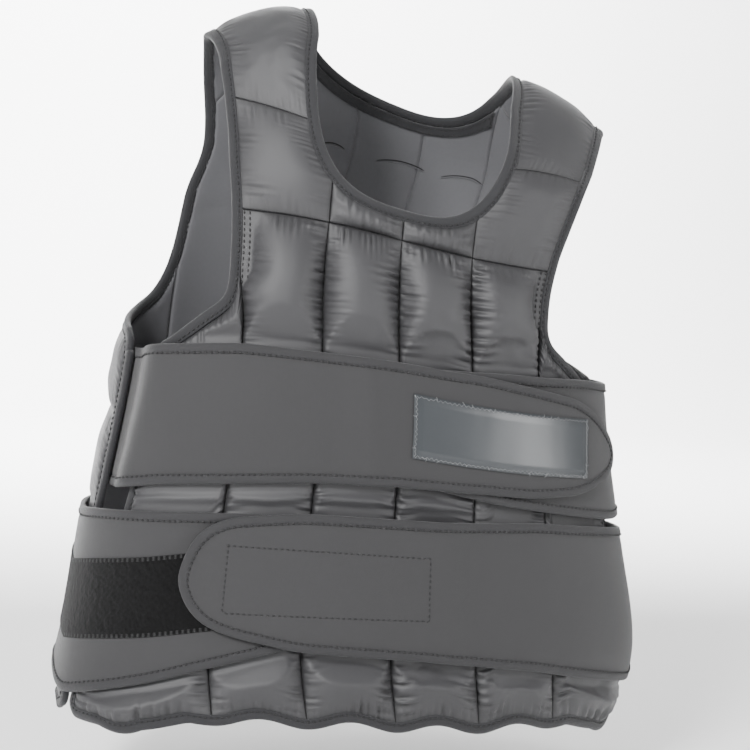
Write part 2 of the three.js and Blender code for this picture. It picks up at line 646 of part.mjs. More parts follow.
// Lowers the outer face where it would reach the belts between two points of the grid.
const SETTLE_ROUNDS = 4;
const BETWEEN = [0.25, 0.5, 0.75];
function settle(grid, side) {
  const floor = shellBase + SEAM_THICKNESS;
  for (let round = 0; round < SETTLE_ROUNDS; round += 1) {
    grid.forEach((row, j) => row.forEach((point, i) => {
      for (const [di, dj] of [[1, 0], [-1, 0], [0, 1], [0, -1], [1, 1], [-1, -1]]) {
        const next = grid[j + dj]?.[i + di];
        if (!next) continue;
        for (const share of BETWEEN) {
          const room = roomAt(side, mix(point.s, next.s, share), Math.abs(mix(point.t, next.t, share)));
          point.high = Math.min(point.high, Math.max(floor, (room - share * next.high) / (1 - share)));
        }
      }
    }));
  }
  return grid;
}
const apart = (a, b) => Math.hypot(b.out - a.out, b.down - a.down);
function stuffed(name, { patch, sign, sideAt, shares, fullness, across = ACROSS }, height) {
  const inU = SEAM_GAP / 2 / apart(patch(0, 0.5), patch(1, 0.5));
  const inV = SEAM_GAP / 2 / apart(patch(0.5, 0), patch(0.5, 1));
  const edge = shellBase + SEAM_THICKNESS;
  const grid = shares.map((v) => across.map((u) => {
    const spot = patch(clamp(u, inU, 1 - inU), clamp(v, inV, 1 - inV));
    const s = sign * spot.out;
    const full = edge + height * crown(u) * fullness(v);
    const high = Math.max(edge, Math.min(full, roomAt(sideAt, s, Math.abs(spot.down))));
    return { s, t: sideAt * spot.down, low: shellBase, high };
  }));
  addPiece(name, [settle(grid, sideAt)], "satin");
}
function lined({ patch, sign, sideAt, shares, across = ACROSS }, topGap = 0) {
  const firstShare = topGap / Math.abs(patch(0.5, 1).down - patch(0.5, 0).down);
  linings[sideAt].push(shares.map((v) => across.map((u) => {
    const spot = patch(u, Math.max(v, firstShare));
    return { s: sign * spot.out, t: sideAt * spot.down, low: 0, high: LINING };
  })));
}

// Front channels. Seams count out from the centre line.
const hemRest = PANEL_LENGTH - clothInset;
function frontSeamOut(number, depth) {
  const down = clamp((depth - YOKE_SEAM) / (hemRest - YOKE_SEAM), 0, 1);
  return number * mix(FRONT_CHANNEL_AT_YOKE, FRONT_CHANNEL_AT_HEM, down);
}
function frontSeam(number) {
  const bottom = hemDown(FRONT, frontSeamOut(number, hemRest));
  return (v) => {
    const down = mix(YOKE_SEAM, bottom, v);
    return { out: frontSeamOut(number, down), down };
  };
}
const frontSeams = [0, 1, 2].map((row) => (row * FRONT_ROW) / (hemRest - YOKE_SEAM));
frontSeams.push(1);
const FRONT_IN_ROW = [
  [0, 0.14, 0.32, 0.5, 0.75, 1],
  [0, 0.14, 0.5, 0.86, 1],
  [0, 0.25, 0.6, 0.84, 1],
];
const frontRows = pocketRows(frontSeams, FRONT_IN_ROW);
const flapShare = frontRows.shares[3];
const flapInner = frontSeam(2)(flapShare);
const frontArmSeam = (v) => {
  const onSeam = frontSeam(2)(v);
  if (v > flapShare - 1e-9) return onSeam;
  return { out: edgeOut(FRONT, onSeam.down), down: onSeam.down };
};
const hemBetween = (side, from, to) => (u) => {
  const out = mix(from, to, u);
  return { out, down: hemDown(side, out) };
};
const frontChannels = [0, 1].map((number) => {
  const inner = frontSeam(number);
  const outer = number === 1 ? frontArmSeam : frontSeam(number + 1);
  const bottom = hemBetween(FRONT, inner(1).out, outer(1).out);
  return patchBetween({ inner, outer, top: straightEdge(inner(0), outer(0)), bottom });
});

// The short side channels below an armhole, for both panels. Their top edge keeps clear of the armhole
// binding between the points of its curve.
const ARM_CURVE_CLEARANCE = { [FRONT]: FRONT_ARM_CLEARANCE, [BACK]: BACK_ARM_CLEARANCE };
const SIDE_CURVE_CLEARANCE = { [FRONT]: 0, [BACK]: BACK_SIDE_CLEARANCE };
function sidePatch(side, inner, cornerDown) {
  const points = clothEdges[side];
  const { sideStart, sideEnd } = outlines[side];
  const armPlace = placeOf(points, "down", cornerDown, 0, sideStart);
  const armEdge = stretch(points, armPlace, sideStart);
  const armStart = armEdge(0);
  const corner = inner(0);
  const top = (u) => {
    const spot = armEdge(u);
    const fade = clamp(1 - 2 * u, 0, 1);
    return {
      out: spot.out + (corner.out - armStart.out) * fade,
      down: spot.down + (corner.down - armStart.down) * fade + ARM_CURVE_CLEARANCE[side] * 4 * u * (1 - u),
    };
  };
  const hemPlace = placeOf(points, "out", inner(1).out, sideEnd, points.length - 1);
  const hemAndCorner = stretch(points, sideEnd, hemPlace);
  const sideLine = stretch(points, sideStart, sideEnd);
  return patchBetween({
    inner,
    outer: (v) => {
      const { out, down } = sideLine(v);
      return { out: out - SIDE_CURVE_CLEARANCE[side] * 4 * v * (1 - v), down };
    },
    top,
    bottom: (u) => hemAndCorner(1 - u),
  });
}
const frontFlap = sidePatch(FRONT, (v) => frontSeam(2)(mix(flapShare, 1, v)), flapInner.down);
const flapRows = (rows, start) => ({
  shares: rows.shares.filter((v) => v > start - 1e-9).map((v) => (v - start) / (1 - start)),
  fullness: (v) => (v > 1e-6 ? rows.fullness(mix(start, 1, v)) : 0),
});

// The chest fields between the pads and the channels.
const YOKE_ROWS = [0, 0.16, 0.32, 0.48, 0.64, 1];
const padSeam = { out: neckHalf(FRONT, PAD_SEAM_AT_NECK, neckInset), down: PAD_SEAM_AT_NECK };
const padSeamAtArm = { out: edgeOut(FRONT, PAD_SEAM_AT_ARM), down: PAD_SEAM_AT_ARM };
const yokeSplit = { out: FRONT_CHANNEL_AT_YOKE, down: neckDepth(FRONT, FRONT_CHANNEL_AT_YOKE, neckInset) };
const yokeEnd = frontSeam(1)(0);
const outerYoke = patchBetween({
  inner: (v) => {
    if (v > YOKE_ROWS[4] - 1e-9) {
      return straightEdge(yokeSplit, yokeEnd)((v - YOKE_ROWS[4]) / (1 - YOKE_ROWS[4]));
    }
    const down = mix(PAD_SEAM_AT_NECK, yokeSplit.down, v / YOKE_ROWS[4]);
    return { out: neckHalf(FRONT, down, neckInset), down };
  },
  outer: (v) => {
    const down = mix(PAD_SEAM_AT_ARM, YOKE_SEAM, v);
    return { out: edgeOut(FRONT, down), down };
  },
  top: straightEdge(padSeam, padSeamAtArm),
  bottom: straightEdge(yokeEnd, frontArmSeam(0)),
});
const CENTRE_YOKE_ROWS = [0, 1];
const centreYoke = patchBetween({
  inner: straightEdge({ out: 0, down: neckDepth(FRONT, 0, neckInset) }, { out: 0, down: YOKE_SEAM }),
  outer: straightEdge(yokeSplit, yokeEnd),
  top: (u) => {
    const out = mix(0, yokeSplit.out, u);
    return { out, down: neckDepth(FRONT, out, neckInset) };
  },
  bottom: straightEdge({ out: 0, down: YOKE_SEAM }, yokeEnd),
});

// Back channels. Their seams lie half a channel off the centre line.
function backSeamOut(number, depth) {
  const down = clamp((depth - BACK_FIRST_ROW_END) / (hemRest - BACK_FIRST_ROW_END), 0, 1);
  return number * mix(BACK_CHANNEL_AT_TOP, BACK_CHANNEL_AT_HEM, down);
}
const backRowSpan = hemRest - BACK_NECK_DEPTH - clothInset;
const backFirstRow = BACK_FIRST_ROW_END - BACK_NECK_DEPTH - clothInset;
const backSeams = [0, ...[0, 1, 2].map((row) => (backFirstRow + row * BACK_ROW) / backRowSpan), 1];
const BACK_IN_ROW = [
  [0, 0.17, 0.4, 0.63, 0.85, 1],
  [0, BACK_FLAP_IN_ROW, 0.8, 1],
  [0, 0.2, 0.8, 1],
  [0, 0.25, 0.75, 1],
];
const backRows = pocketRows(backSeams, BACK_IN_ROW);
function backDown(topDown, bottomDown, v) {
  const first = backSeams[1];
  if (v < first) return mix(topDown, BACK_FIRST_ROW_END, v / first);
  return mix(BACK_FIRST_ROW_END, bottomDown, (v - first) / (1 - first));
}
function backSeam(number) {
  const top = neckDepth(BACK, backSeamOut(number, 0), neckInset);
  const bottom = hemDown(BACK, backSeamOut(number, hemRest));
  return (v) => {
    const down = backDown(top, bottom, v);
    return { out: backSeamOut(number, down), down };
  };
}
const backFlapShare = mix(backSeams[1], backSeams[2], BACK_FLAP_IN_ROW);
const backHemOut = backSeamOut(BACK_LAST_SEAM, hemRest);
const backHemCorner = { out: backHemOut, down: hemDown(BACK, backHemOut) };
const backFlapDown = backDown(BACK_PAD_SEAM_AT_ARM, backHemCorner.down, backFlapShare);
const backArmCorner = { out: edgeOut(BACK, backFlapDown), down: backFlapDown };
const backArmSeam = (v) => {
  const down = backDown(BACK_PAD_SEAM_AT_ARM, backHemCorner.down, v);
  if (down < backFlapDown + 1e-6) return { out: edgeOut(BACK, Math.min(down, backFlapDown)), down };
  return straightEdge(backArmCorner, backHemCorner)((v - backFlapShare) / (1 - backFlapShare));
};
const backNeckBetween = (from, to) => (u) => {
  const out = mix(from, to, u);
  return { out, down: neckDepth(BACK, Math.abs(out), neckInset) };
};
const backPatchAt = (inner, outer, top) => patchBetween({
  inner, outer, top, bottom: hemBetween(BACK, inner(1).out, outer(1).out),
});
const mirrored = (seam) => (v) => {
  const { out, down } = seam(v);
  return { out: -out, down };
};
const hemAcross = (from, to) => (u) => {
  const out = mix(from, to, u);
  return { out, down: hemDown(BACK, Math.abs(out)) };
};
const halfSeam = backSeam(BACK_FIRST_SEAM);
const nextSeam = backSeam(BACK_FIRST_SEAM + 1);
const backCentre = patchBetween({
  inner: mirrored(halfSeam),
  outer: halfSeam,
  top: backNeckBetween(-halfSeam(0).out, halfSeam(0).out),
  bottom: hemAcross(-halfSeam(1).out, halfSeam(1).out),
});
const backMiddle = backPatchAt(halfSeam, nextSeam, backNeckBetween(halfSeam(0).out, nextSeam(0).out));
const backPadSeam = straightEdge(nextSeam(0), backArmSeam(0));
const backOuter = backPatchAt(nextSeam, backArmSeam, backPadSeam);
const backFlap = sidePatch(BACK, (v) => backArmSeam(mix(backFlapShare, 1, v)), backFlapDown);

// The shoulder pads run over the fold, from the front pad seam to the back one. t keeps its sign here.
const PAD_ROWS = evenShares(9);
const backPadInner = nextSeam(0);
const padEdge = (frontDown, backDownTo, outAt) => (v) => {
  const t = mix(-frontDown, backDownTo, v);
  return { out: outAt(t < 0 ? FRONT : BACK, Math.abs(t)), down: t };
};
const signed = (edge, sideAt) => (u) => {
  const { out, down } = edge(u);
  return { out, down: sideAt * down };
};
const padPatch = patchBetween({
  inner: padEdge(PAD_SEAM_AT_NECK, backPadInner.down, (side, depth) => neckHalf(side, depth, neckInset)),
  outer: padEdge(PAD_SEAM_AT_ARM, BACK_PAD_SEAM_AT_ARM, (side, depth) => edgeOut(side, depth)),
  top: signed(straightEdge(padSeam, padSeamAtArm), FRONT),
  bottom: signed(backPadSeam, BACK),
});

const simpleRows = (shares) => ({ shares, fullness: crown });
const halves = [{ sign: -1, side: "left" }, { sign: 1, side: "right" }];
const numbered = (sign, fromCentre, count) => count / 2 + (sign < 0 ? 1 - fromCentre : fromCentre);
const BACK_CENTRE_CHANNEL = 4;
function stuffedAndLined(name, piece, height) {
  stuffed(name, piece, height);
  lined(piece);
}
for (const { sign, side } of halves) {
  const onFront = { sign, sideAt: FRONT };
  const onBack = { sign, sideAt: BACK };
  const pad = { patch: padPatch, ...onBack, ...simpleRows(PAD_ROWS) };
  stuffedAndLined("shoulder_pad_" + side, pad, PAD_HEIGHT);
  const centre = { patch: centreYoke, ...onFront, ...simpleRows(CENTRE_YOKE_ROWS) };
  const outer = { patch: outerYoke, ...onFront, ...simpleRows(YOKE_ROWS) };
  stuffedAndLined("front_yoke_" + numbered(sign, 1, 4), centre, YOKE_HEIGHT);
  stuffed("front_yoke_" + numbered(sign, 2, 4), outer, YOKE_HEIGHT);
  lined(outer, SEAM_GAP);
  frontChannels.forEach((patch, i) => {
    const name = "front_channel_" + numbered(sign, i + 1, 6);
    stuffedAndLined(name, { patch, ...onFront, ...frontRows }, PILLOW_HEIGHT);
  });
  const frontShort = { patch: frontFlap, ...onFront, across: ACROSS_SIDE, ...flapRows(frontRows, flapShare) };
  stuffedAndLined("front_channel_" + numbered(sign, 3, 6), frontShort, PILLOW_HEIGHT);
  [backMiddle, backOuter].forEach((patch, i) => {
    const name = "back_channel_" + (BACK_CENTRE_CHANNEL + sign * (i + 1));
    stuffedAndLined(name, { patch, ...onBack, ...backRows }, PILLOW_HEIGHT);
  });
  const backShort = { patch: backFlap, ...onBack, across: ACROSS_SIDE, ...flapRows(backRows, backFlapShare) };
  stuffedAndLined("back_channel_" + (BACK_CENTRE_CHANNEL + sign * 3), backShort, PILLOW_HEIGHT);
}
const centreChannel = { patch: backCentre, sign: 1, sideAt: BACK, ...backRows };
stuffedAndLined("back_channel_" + BACK_CENTRE_CHANNEL, centreChannel, PILLOW_HEIGHT);
addPiece("front_lining", linings[FRONT], "lining");
addPiece("back_lining", linings[BACK], "lining");

// Bindings: a folded tape along each edge, thinner at its outer rim.
const TAPE = [0, 0.22, 1];
const tapeTop = shellBase + SEAM_THICKNESS + BINDING_OVER;
const tapeMiddle = tapeTop / 2;
const TAPE_RIM = 0.25;
const tapeLift = (share) => (share === 0
  ? { low: tapeMiddle - TAPE_RIM * tapeTop, high: tapeMiddle + TAPE_RIM * tapeTop }
  : { low: -LAYER_GAP, high: tapeTop });
const tapeRow = (spots) => spots.map((spot, i) => ({ ...spot, ...tapeLift(TAPE[i]) }));

// The neck binding is a closed ring. Its sides run straight down from the folds before they curve round.
const NECK_STRAIGHT_STEPS = 3;
const NECK_CURVE_STEPS = 18;
function neckHalfRing(side) {
  const { depth, straight, power } = neckShape[side];
  const stepsDown = side === FRONT ? NECK_STRAIGHT_STEPS : 0;
  const spotAt = (angle, grow) => ({
    out: (neckWidest(side, depth) + grow) * Math.abs(Math.cos(angle)) ** (2 / power),
    down: straight + (depth - straight + grow) * Math.max(0, Math.sin(angle)) ** (2 / power),
  });
  const rows = [];
  for (let i = 0; i < stepsDown; i += 1) {
    const down = (straight * i) / stepsDown;
    rows.push(TAPE.map((share) => ({ out: neckHalf(side, down, share * BINDING_WIDTH), down })));
  }
  for (let i = 0; i <= NECK_CURVE_STEPS / 2; i += 1) {
    const angle = (Math.PI * i) / NECK_CURVE_STEPS;
    rows.push(TAPE.map((share) => spotAt(angle, share * BINDING_WIDTH)));
  }
  const onPattern = (sign) => ({ out, down }) => ({ s: sign * out, t: side * down });
  const half = (sign) => rows.map((row) => tapeRow(row.map(onPattern(sign))));
  return [...half(-1), ...half(1).reverse().slice(1)];
}
function neckRing() {
  return [...neckHalfRing(FRONT), ...neckHalfRing(BACK).reverse().slice(1)];
}
addPiece("neck_binding", [neckRing()], "binding");

// Rows of an edge binding between two places of the outline, as index and share.
const tapeEdges = {
  [FRONT]: TAPE.map((share) => insetOutline(FRONT, share * BINDING_WIDTH)),
  [BACK]: TAPE.map((share) => insetOutline(BACK, share * BINDING_WIDTH)),
};
function edgeRows(side, sign, from, to) {
  const places = [from];
  for (let i = Math.floor(from) + 1; i < to; i += 1) places.push(i);
  places.push(to);
  return places.map((place) => tapeRow(tapeEdges[side].map((points) => {
    const i = Math.min(Math.floor(place), points.length - 2);
    return {
      s: sign * mix(points[i].out, points[i + 1].out, place - i),
      t: side * mix(points[i].down, points[i + 1].down, place - i),
    };
  })));
}
const TAPE_JOINT = 0.04;
for (const { sign, side } of halves) {
  const front = edgeRows(FRONT, sign, 0, outlines[FRONT].sideStart);
  const back = edgeRows(BACK, sign, 0, outlines[BACK].sideStart);
  addPiece("armhole_binding_" + side, [[...front.reverse(), ...back.slice(1)]], "binding");
}
for (const [side, name] of [[FRONT, "front_hem_binding"], [BACK, "back_hem_binding"]]) {
  const { points, sideStart } = outlines[side];
  const left = edgeRows(side, -1, sideStart + TAPE_JOINT, points.length - 1);
  const right = edgeRows(side, 1, sideStart + TAPE_JOINT, points.length - 1);
  addPiece(name, [[...left, ...right.reverse().slice(1)]], "binding");
}

// The stitched band inside the back, along the neck binding.
const BAND_STEPS = 12;
const bandShares = evenShares(BAND_STEPS).map((share) => 2 * share - 1);
const bandRows = [clothInset, clothInset + BAND_WIDTH].map((grow) => bandShares.map((share) => {
  const s = share * (NECK_AT_FOLD - 1);
  return {
    s,
    t: neckDepth(BACK, Math.abs(s), grow),
    low: -BAND_GAP - BAND_THICKNESS,
    high: -BAND_GAP,
  };
}));
addPiece("back_lining_band", [bandRows], "binding");

// Belts, from one end round to the other.
function beltStations(belt) {
  const places = belt.outline.map((row) => row.reach * belt.reach);
  const stations = [places[0]];
  for (let i = 1; i < places.length; i += 1) {
    const count = Math.max(1, Math.ceil((places[i] - places[i - 1]) / BELT_STEP));
    for (let k = 1; k <= count; k += 1) stations.push(mix(places[i - 1], places[i], k / count));
  }
  return stations;
}
function beltGrid(belt) {
  return beltStations(belt).map((s) => {
    const { top, bottom } = beltRow(belt, s);
    return [0, 0.5, 1].map((share) => {
      const depth = mix(top, bottom, share);
      const low = beltLift(belt, s, depth);
      return { s, t: -depth, low, high: low + BELT_THICKNESS };
    });
  });
}
addPiece("upper_belt_left", [beltGrid(upperOver)], "neoprene");
addPiece("upper_belt_right", [beltGrid(upperUnder)], "neoprene");
addPiece("lower_belt_right", [beltGrid(lowerOver)], "neoprene");
addPiece("lower_belt_left", [beltGrid(lowerUnder)], "neoprene");

// A flat piece sewn on a belt's outer face.
function patchOnBelt(belt, stations, middleAt, width, gap, thickness) {
  return stations.map((s) => [-0.5, 0, 0.5].map((share) => {
    const depth = middleAt(s) + share * width;
    const low = beltLift(belt, s, depth) + BELT_THICKNESS + gap;
    return { s, t: -depth, low, high: low + thickness };
  }));
}
const between = (stations, from, to) => [from, ...stations.filter((s) => s > from && s < to), to];
const labelStations = between(beltStations(upperOver), LABEL_START, LABEL_START + LABEL_LENGTH);
const labelMiddle = (s) => UPPER_BELT_LEVEL + LABEL_SLANT * ((s - LABEL_START) / LABEL_LENGTH);
addPiece(
  "label_patch",
  [patchOnBelt(upperOver, labelStations, labelMiddle, LABEL_WIDTH, LABEL_GAP, LABEL_THICKNESS)],
  "label",
);
const loopStations = between(beltStations(lowerUnder), LOOP_START, LOOP_END);
const loopMiddle = (s) => {
  const { top, bottom } = beltRow(lowerUnder, s);
  return (top + bottom) / 2;
};
addPiece(
  "loop_panel",
  [patchOnBelt(lowerUnder, loopStations, loopMiddle, LOOP_WIDTH, LOOP_GAP, LOOP_THICKNESS)],
  "loop",
);

export default group;
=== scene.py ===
# The looks of a weighted training vest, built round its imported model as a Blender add-on that is run as a
# script. Cloth positions are given as on a sewing pattern, in millimetres: s runs across from the centre
# line and t along from the shoulder fold, negative down the front. A depth is t without its sign. place()
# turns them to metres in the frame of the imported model.
import math

import bpy
import numpy as np
from mathutils import Matrix, Vector


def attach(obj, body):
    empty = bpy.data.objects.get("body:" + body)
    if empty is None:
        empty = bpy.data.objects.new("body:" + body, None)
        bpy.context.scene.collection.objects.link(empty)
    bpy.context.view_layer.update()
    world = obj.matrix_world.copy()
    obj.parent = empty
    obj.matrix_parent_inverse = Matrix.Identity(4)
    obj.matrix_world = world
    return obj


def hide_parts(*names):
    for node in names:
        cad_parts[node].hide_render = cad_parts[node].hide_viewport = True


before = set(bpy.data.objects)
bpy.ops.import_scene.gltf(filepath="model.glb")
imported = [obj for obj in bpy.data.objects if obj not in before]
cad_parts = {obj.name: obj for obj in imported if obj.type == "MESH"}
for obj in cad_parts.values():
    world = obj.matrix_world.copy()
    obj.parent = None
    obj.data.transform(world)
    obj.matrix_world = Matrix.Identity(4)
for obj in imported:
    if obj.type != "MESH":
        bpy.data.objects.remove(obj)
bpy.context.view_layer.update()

bl_info = {
    "name": "Weighted vest",
    "version": (1, 0, 0),
    "blender": (4, 5, 0),
    "location": "3D View > Sidebar > Vest",
    "description": "Stuffed channels, bindings, belts and finishes of a worn weighted vest",
    "category": "Object",
}

# The body form under the lining.
FORM_HEIGHT = 516
HEM_HALF_WIDTH = 214
SHOULDER_HALF_WIDTH = 170
FLARE_START = 145
FLARE_RUN = 411
HEM_HALF_DEPTH = 104
SHOULDER_HALF_DEPTH = 74
SHOULDER_ROUND = 120
SECTION_POWER = 2.4

# The cut of the two panels.
PANEL_LENGTH = 535
YOKE_SEAM = 189
PAD_SEAM_AT_NECK = 120
PAD_SEAM_AT_ARM = 98
BACK_PAD_SEAM_AT_ARM = 88
NECK_HALF_WIDTH = 71
NECK_AT_FOLD = 77
FRONT_NECK_DEPTH = 167
FRONT_NECK_STRAIGHT = 60
FRONT_NECK_POWER = 2.8
BACK_NECK_DEPTH = 75
BACK_NECK_POWER = 2.6
STRAP_OUTER = 154
FRONT_CHEST_HALF = 117.5
FRONT_ARM_DEPTH = 252
FRONT_SIDE_TOP = 278
FRONT_SIDE_AT_TOP = 172
FRONT_SIDE_AT_HEM = 240
FRONT_SIDE_POWER = 1.6
BACK_CHEST_HALF = 148
BACK_SIDE_TOP = 276
BACK_SIDE_AT_TOP = 240
BACK_SIDE_AT_HEM = 273
HEM_CORNER = 11
TIP_CORNER = 12
HEM_DIP = 3
HEM_SIDE_DROP = 11
HEM_DROP_RUN = 60

# The stuffed channels.
FRONT_CHANNEL_AT_YOKE = 51.5
FRONT_CHANNEL_AT_HEM = 64.5
BACK_CHANNEL_AT_TOP = 53
BACK_CHANNEL_AT_HEM = 59
FRONT_ROW = 112
BACK_FIRST_ROW_END = 186
BACK_ROW = 101
PILLOW_HEIGHT = 17
PAD_HEIGHT = 8
YOKE_HEIGHT = 6
FLAP_HEIGHT = 8
SEAM_THICKNESS = 2.4
CROWN_POWER = 2.6

# Cloth, trim and clearances.
LINING = 1.6
BINDING_WIDTH = 8
BINDING_OVER = 0.9
BAND_WIDTH = 8
BAND_THICKNESS = 1.4
LAYER_GAP = 0.3
SEAM_GAP = 0.5
TUCKED_EDGE = 1.2
BAND_GAP = 1
SHELL_BASE = LINING + LAYER_GAP
TAPE_TOP = SHELL_BASE + SEAM_THICKNESS + BINDING_OVER
CLOTH_INSET = BINDING_WIDTH - TUCKED_EDGE
NECK_INSET = CLOTH_INSET

# The belts.
BELT_WIDTH = 105
BELT_THICKNESS = 3.4
BELT_SEAT = 9
BELT_CLEARANCE = 1.1
BELT_CLIMB = 30
BELT_TAPE = 7
TUCK_MARGIN = 5
TUCK_DEPTH = 1.7
LIFT_RUN = 40
SWELL_MARGIN = 6
SWELL_SLOPE = 0.55
TUCKED_REACH = 312
UPPER_OVER_REACH = 188
LABEL_START = 6
LABEL_LENGTH = 140
LABEL_WIDTH = 45
LABEL_SLANT = 8
LOOP_WIDTH = 55
LOOP_THICKNESS = 1.2
LOOP_START = -300
LOOP_END = -60

# How the vest sits when it is worn: height, twist in degrees, lean, tilt and sink, as in the part's source.
POSTURE = (
    (0, -5, 0.082, 0.29, 0.008),
    (0.08, -7, 0.07, 0.33, 0.0015),
    (0.16, -7, 0.062, 0.2, 0.0027),
    (0.26, -4, 0.022, 0.21, 0.0027),
    (0.38, 0, -0.012, 0.14, -0.0015),
    (0.52, 3, -0.013, 0.1, 0),
    (0.7, 1.5, -0.003, 0.06, -0.0017),
    (0.86, 0.5, 0.01, 0.035, -0.0065),
    (1, 8, -0.016, 0.085, -0.008),
)
TILT_REACH = 90
SHOULDER_SLOPE = 0.4
SLOPE_FADE_TOP = 40
SLOPE_FADE_END = 140

# The armhole edges from the shoulder fold to the side, as (out, down) points.
FRONT_ARMHOLE = (
    (STRAP_OUTER, 0),
    (1.2 * FRONT_CHEST_HALF, 0.24 * FRONT_ARM_DEPTH),
    (1.1 * FRONT_CHEST_HALF, 0.5 * FRONT_ARM_DEPTH),
    (1.015 * FRONT_CHEST_HALF, 0.74 * FRONT_ARM_DEPTH),
    (FRONT_CHEST_HALF, 0.89 * FRONT_ARM_DEPTH),
    (1.03 * FRONT_CHEST_HALF, 0.975 * FRONT_ARM_DEPTH),
    (1.17 * FRONT_CHEST_HALF, 1.03 * FRONT_ARM_DEPTH),
    (FRONT_SIDE_AT_TOP - TIP_CORNER, FRONT_SIDE_TOP - 2),
)
BACK_ARMHOLE = (
    (STRAP_OUTER, 0),
    (1.025 * BACK_CHEST_HALF, 0.2 * BACK_SIDE_TOP),
    (BACK_CHEST_HALF, 0.4 * BACK_SIDE_TOP),
    (BACK_CHEST_HALF, 0.61 * BACK_SIDE_TOP),
    (BACK_CHEST_HALF, 0.79 * BACK_SIDE_TOP),
    (1.07 * BACK_CHEST_HALF, 0.885 * BACK_SIDE_TOP),
    (1.2 * BACK_CHEST_HALF, 0.932 * BACK_SIDE_TOP),
    (1.38 * BACK_CHEST_HALF, 0.967 * BACK_SIDE_TOP),
    (BACK_SIDE_AT_TOP - TIP_CORNER, BACK_SIDE_TOP - 3),
)

# Belt outlines as (reach, drop, width): shares of the belt's own reach, and of BELT_WIDTH.
BELTS = {
    "upper_belt_left": {"level": 318, "reach": UPPER_OVER_REACH, "outline": (
        (-TUCKED_REACH / UPPER_OVER_REACH, 0.16, 0.92), (-1.04, 0.15, 0.905), (-0.85, 0.095, 0.876),
        (-0.585, 0.048, 0.876), (-0.32, 0.028, 0.83), (0, 0.005, 0.81), (0.32, 0.01, 0.8),
        (0.53, 0.043, 0.77), (0.73, 0.067, 0.686), (0.85, 0.095, 0.514), (0.93, 0.129, 0.314),
        (0.98, 0.133, 0.152), (1, 0.138, 0),
    )},
    "upper_belt_right": {"level": 318, "reach": 330, "outline": (
        (-0.03, 0, 0.48), (0, 0, 0.74), (0.075, 0.005, 0.8), (0.23, 0.029, 0.91), (0.45, 0.076, 0.99),
        (0.56, 0.12, 1), (0.76, 0.1, 1), (1, 0.095, 1),
    )},
    "lower_belt_right": {"level": 431, "reach": 330, "outline": (
        (-0.439, 0.057, 0), (-0.433, 0.052, 0.13), (-0.42, 0.035, 0.38), (-0.391, 0.02, 0.62),
        (-0.342, 0.012, 0.76), (-0.2, 0.024, 0.905), (0.073, 0.029, 0.952), (0.324, 0.057, 1.048),
        (0.497, 0.133, 1.105), (0.65, 0.215, 1.14), (0.78, 0.19, 1.08), (1, 0.15, 1.02),
    )},
    "lower_belt_left": {"level": 431, "reach": 350, "outline": (
        (-1, 0.2, 1.05), (-0.77, 0.26, 1.12), (-0.68, 0.335, 1.22), (-0.574, 0.262, 1.17),
        (-0.474, 0.2, 1.105), (-0.374, 0.129, 1.02), (-0.28, 0.071, 0.943), (-0.114, -0.01, 0.76),
        (0.03, -0.02, 0.7), (0.06, -0.02, 0.42),
    )},
}

FRONT = -1
BACK = 1


def mix(a, b, share):
    return a + (b - a) * share


def smooth(share):
    share = np.clip(share, 0, 1)
    return share * share * (3 - 2 * share)


def eased(table, keys, column):
    """A cubic curve through one column of a table, level past its ends."""
    x = np.array([row[0] for row in table], float)
    y = np.array([row[column] for row in table], float)
    slope = np.zeros(len(x))
    slope[1:-1] = (y[2:] - y[:-2]) / (x[2:] - x[:-2])
    keys = np.clip(keys, x[0], x[-1])
    i = np.clip(np.searchsorted(x, keys, side="right") - 1, 0, len(x) - 2)
    run = x[i + 1] - x[i]
    u = (keys - x[i]) / run
    start = y[i] * (1 + 2 * u) * (1 - u) ** 2 + run * slope[i] * u * (1 - u) ** 2
    return start + y[i + 1] * u * u * (3 - 2 * u) + run * slope[i + 1] * u * u * (u - 1)


def form_half_sizes(z):
    """The form's half width and half depth at heights."""
    down = np.clip(-z / FORM_HEIGHT, 0, 1.2)
    rounding = np.clip(-z / SHOULDER_ROUND, 0, 1)
    width = mix(SHOULDER_HALF_WIDTH, HEM_HALF_WIDTH, smooth((-z - FLARE_START) / FLARE_RUN))
    depth = mix(SHOULDER_HALF_DEPTH, HEM_HALF_DEPTH, down) * np.sqrt(rounding * (2 - rounding))
    return width, depth


# Tables of the form's points and outward directions, by depth and distance out from the centre line.
TABLE_STEP = 2.0
DEEPEST = 600
FURTHEST = 440


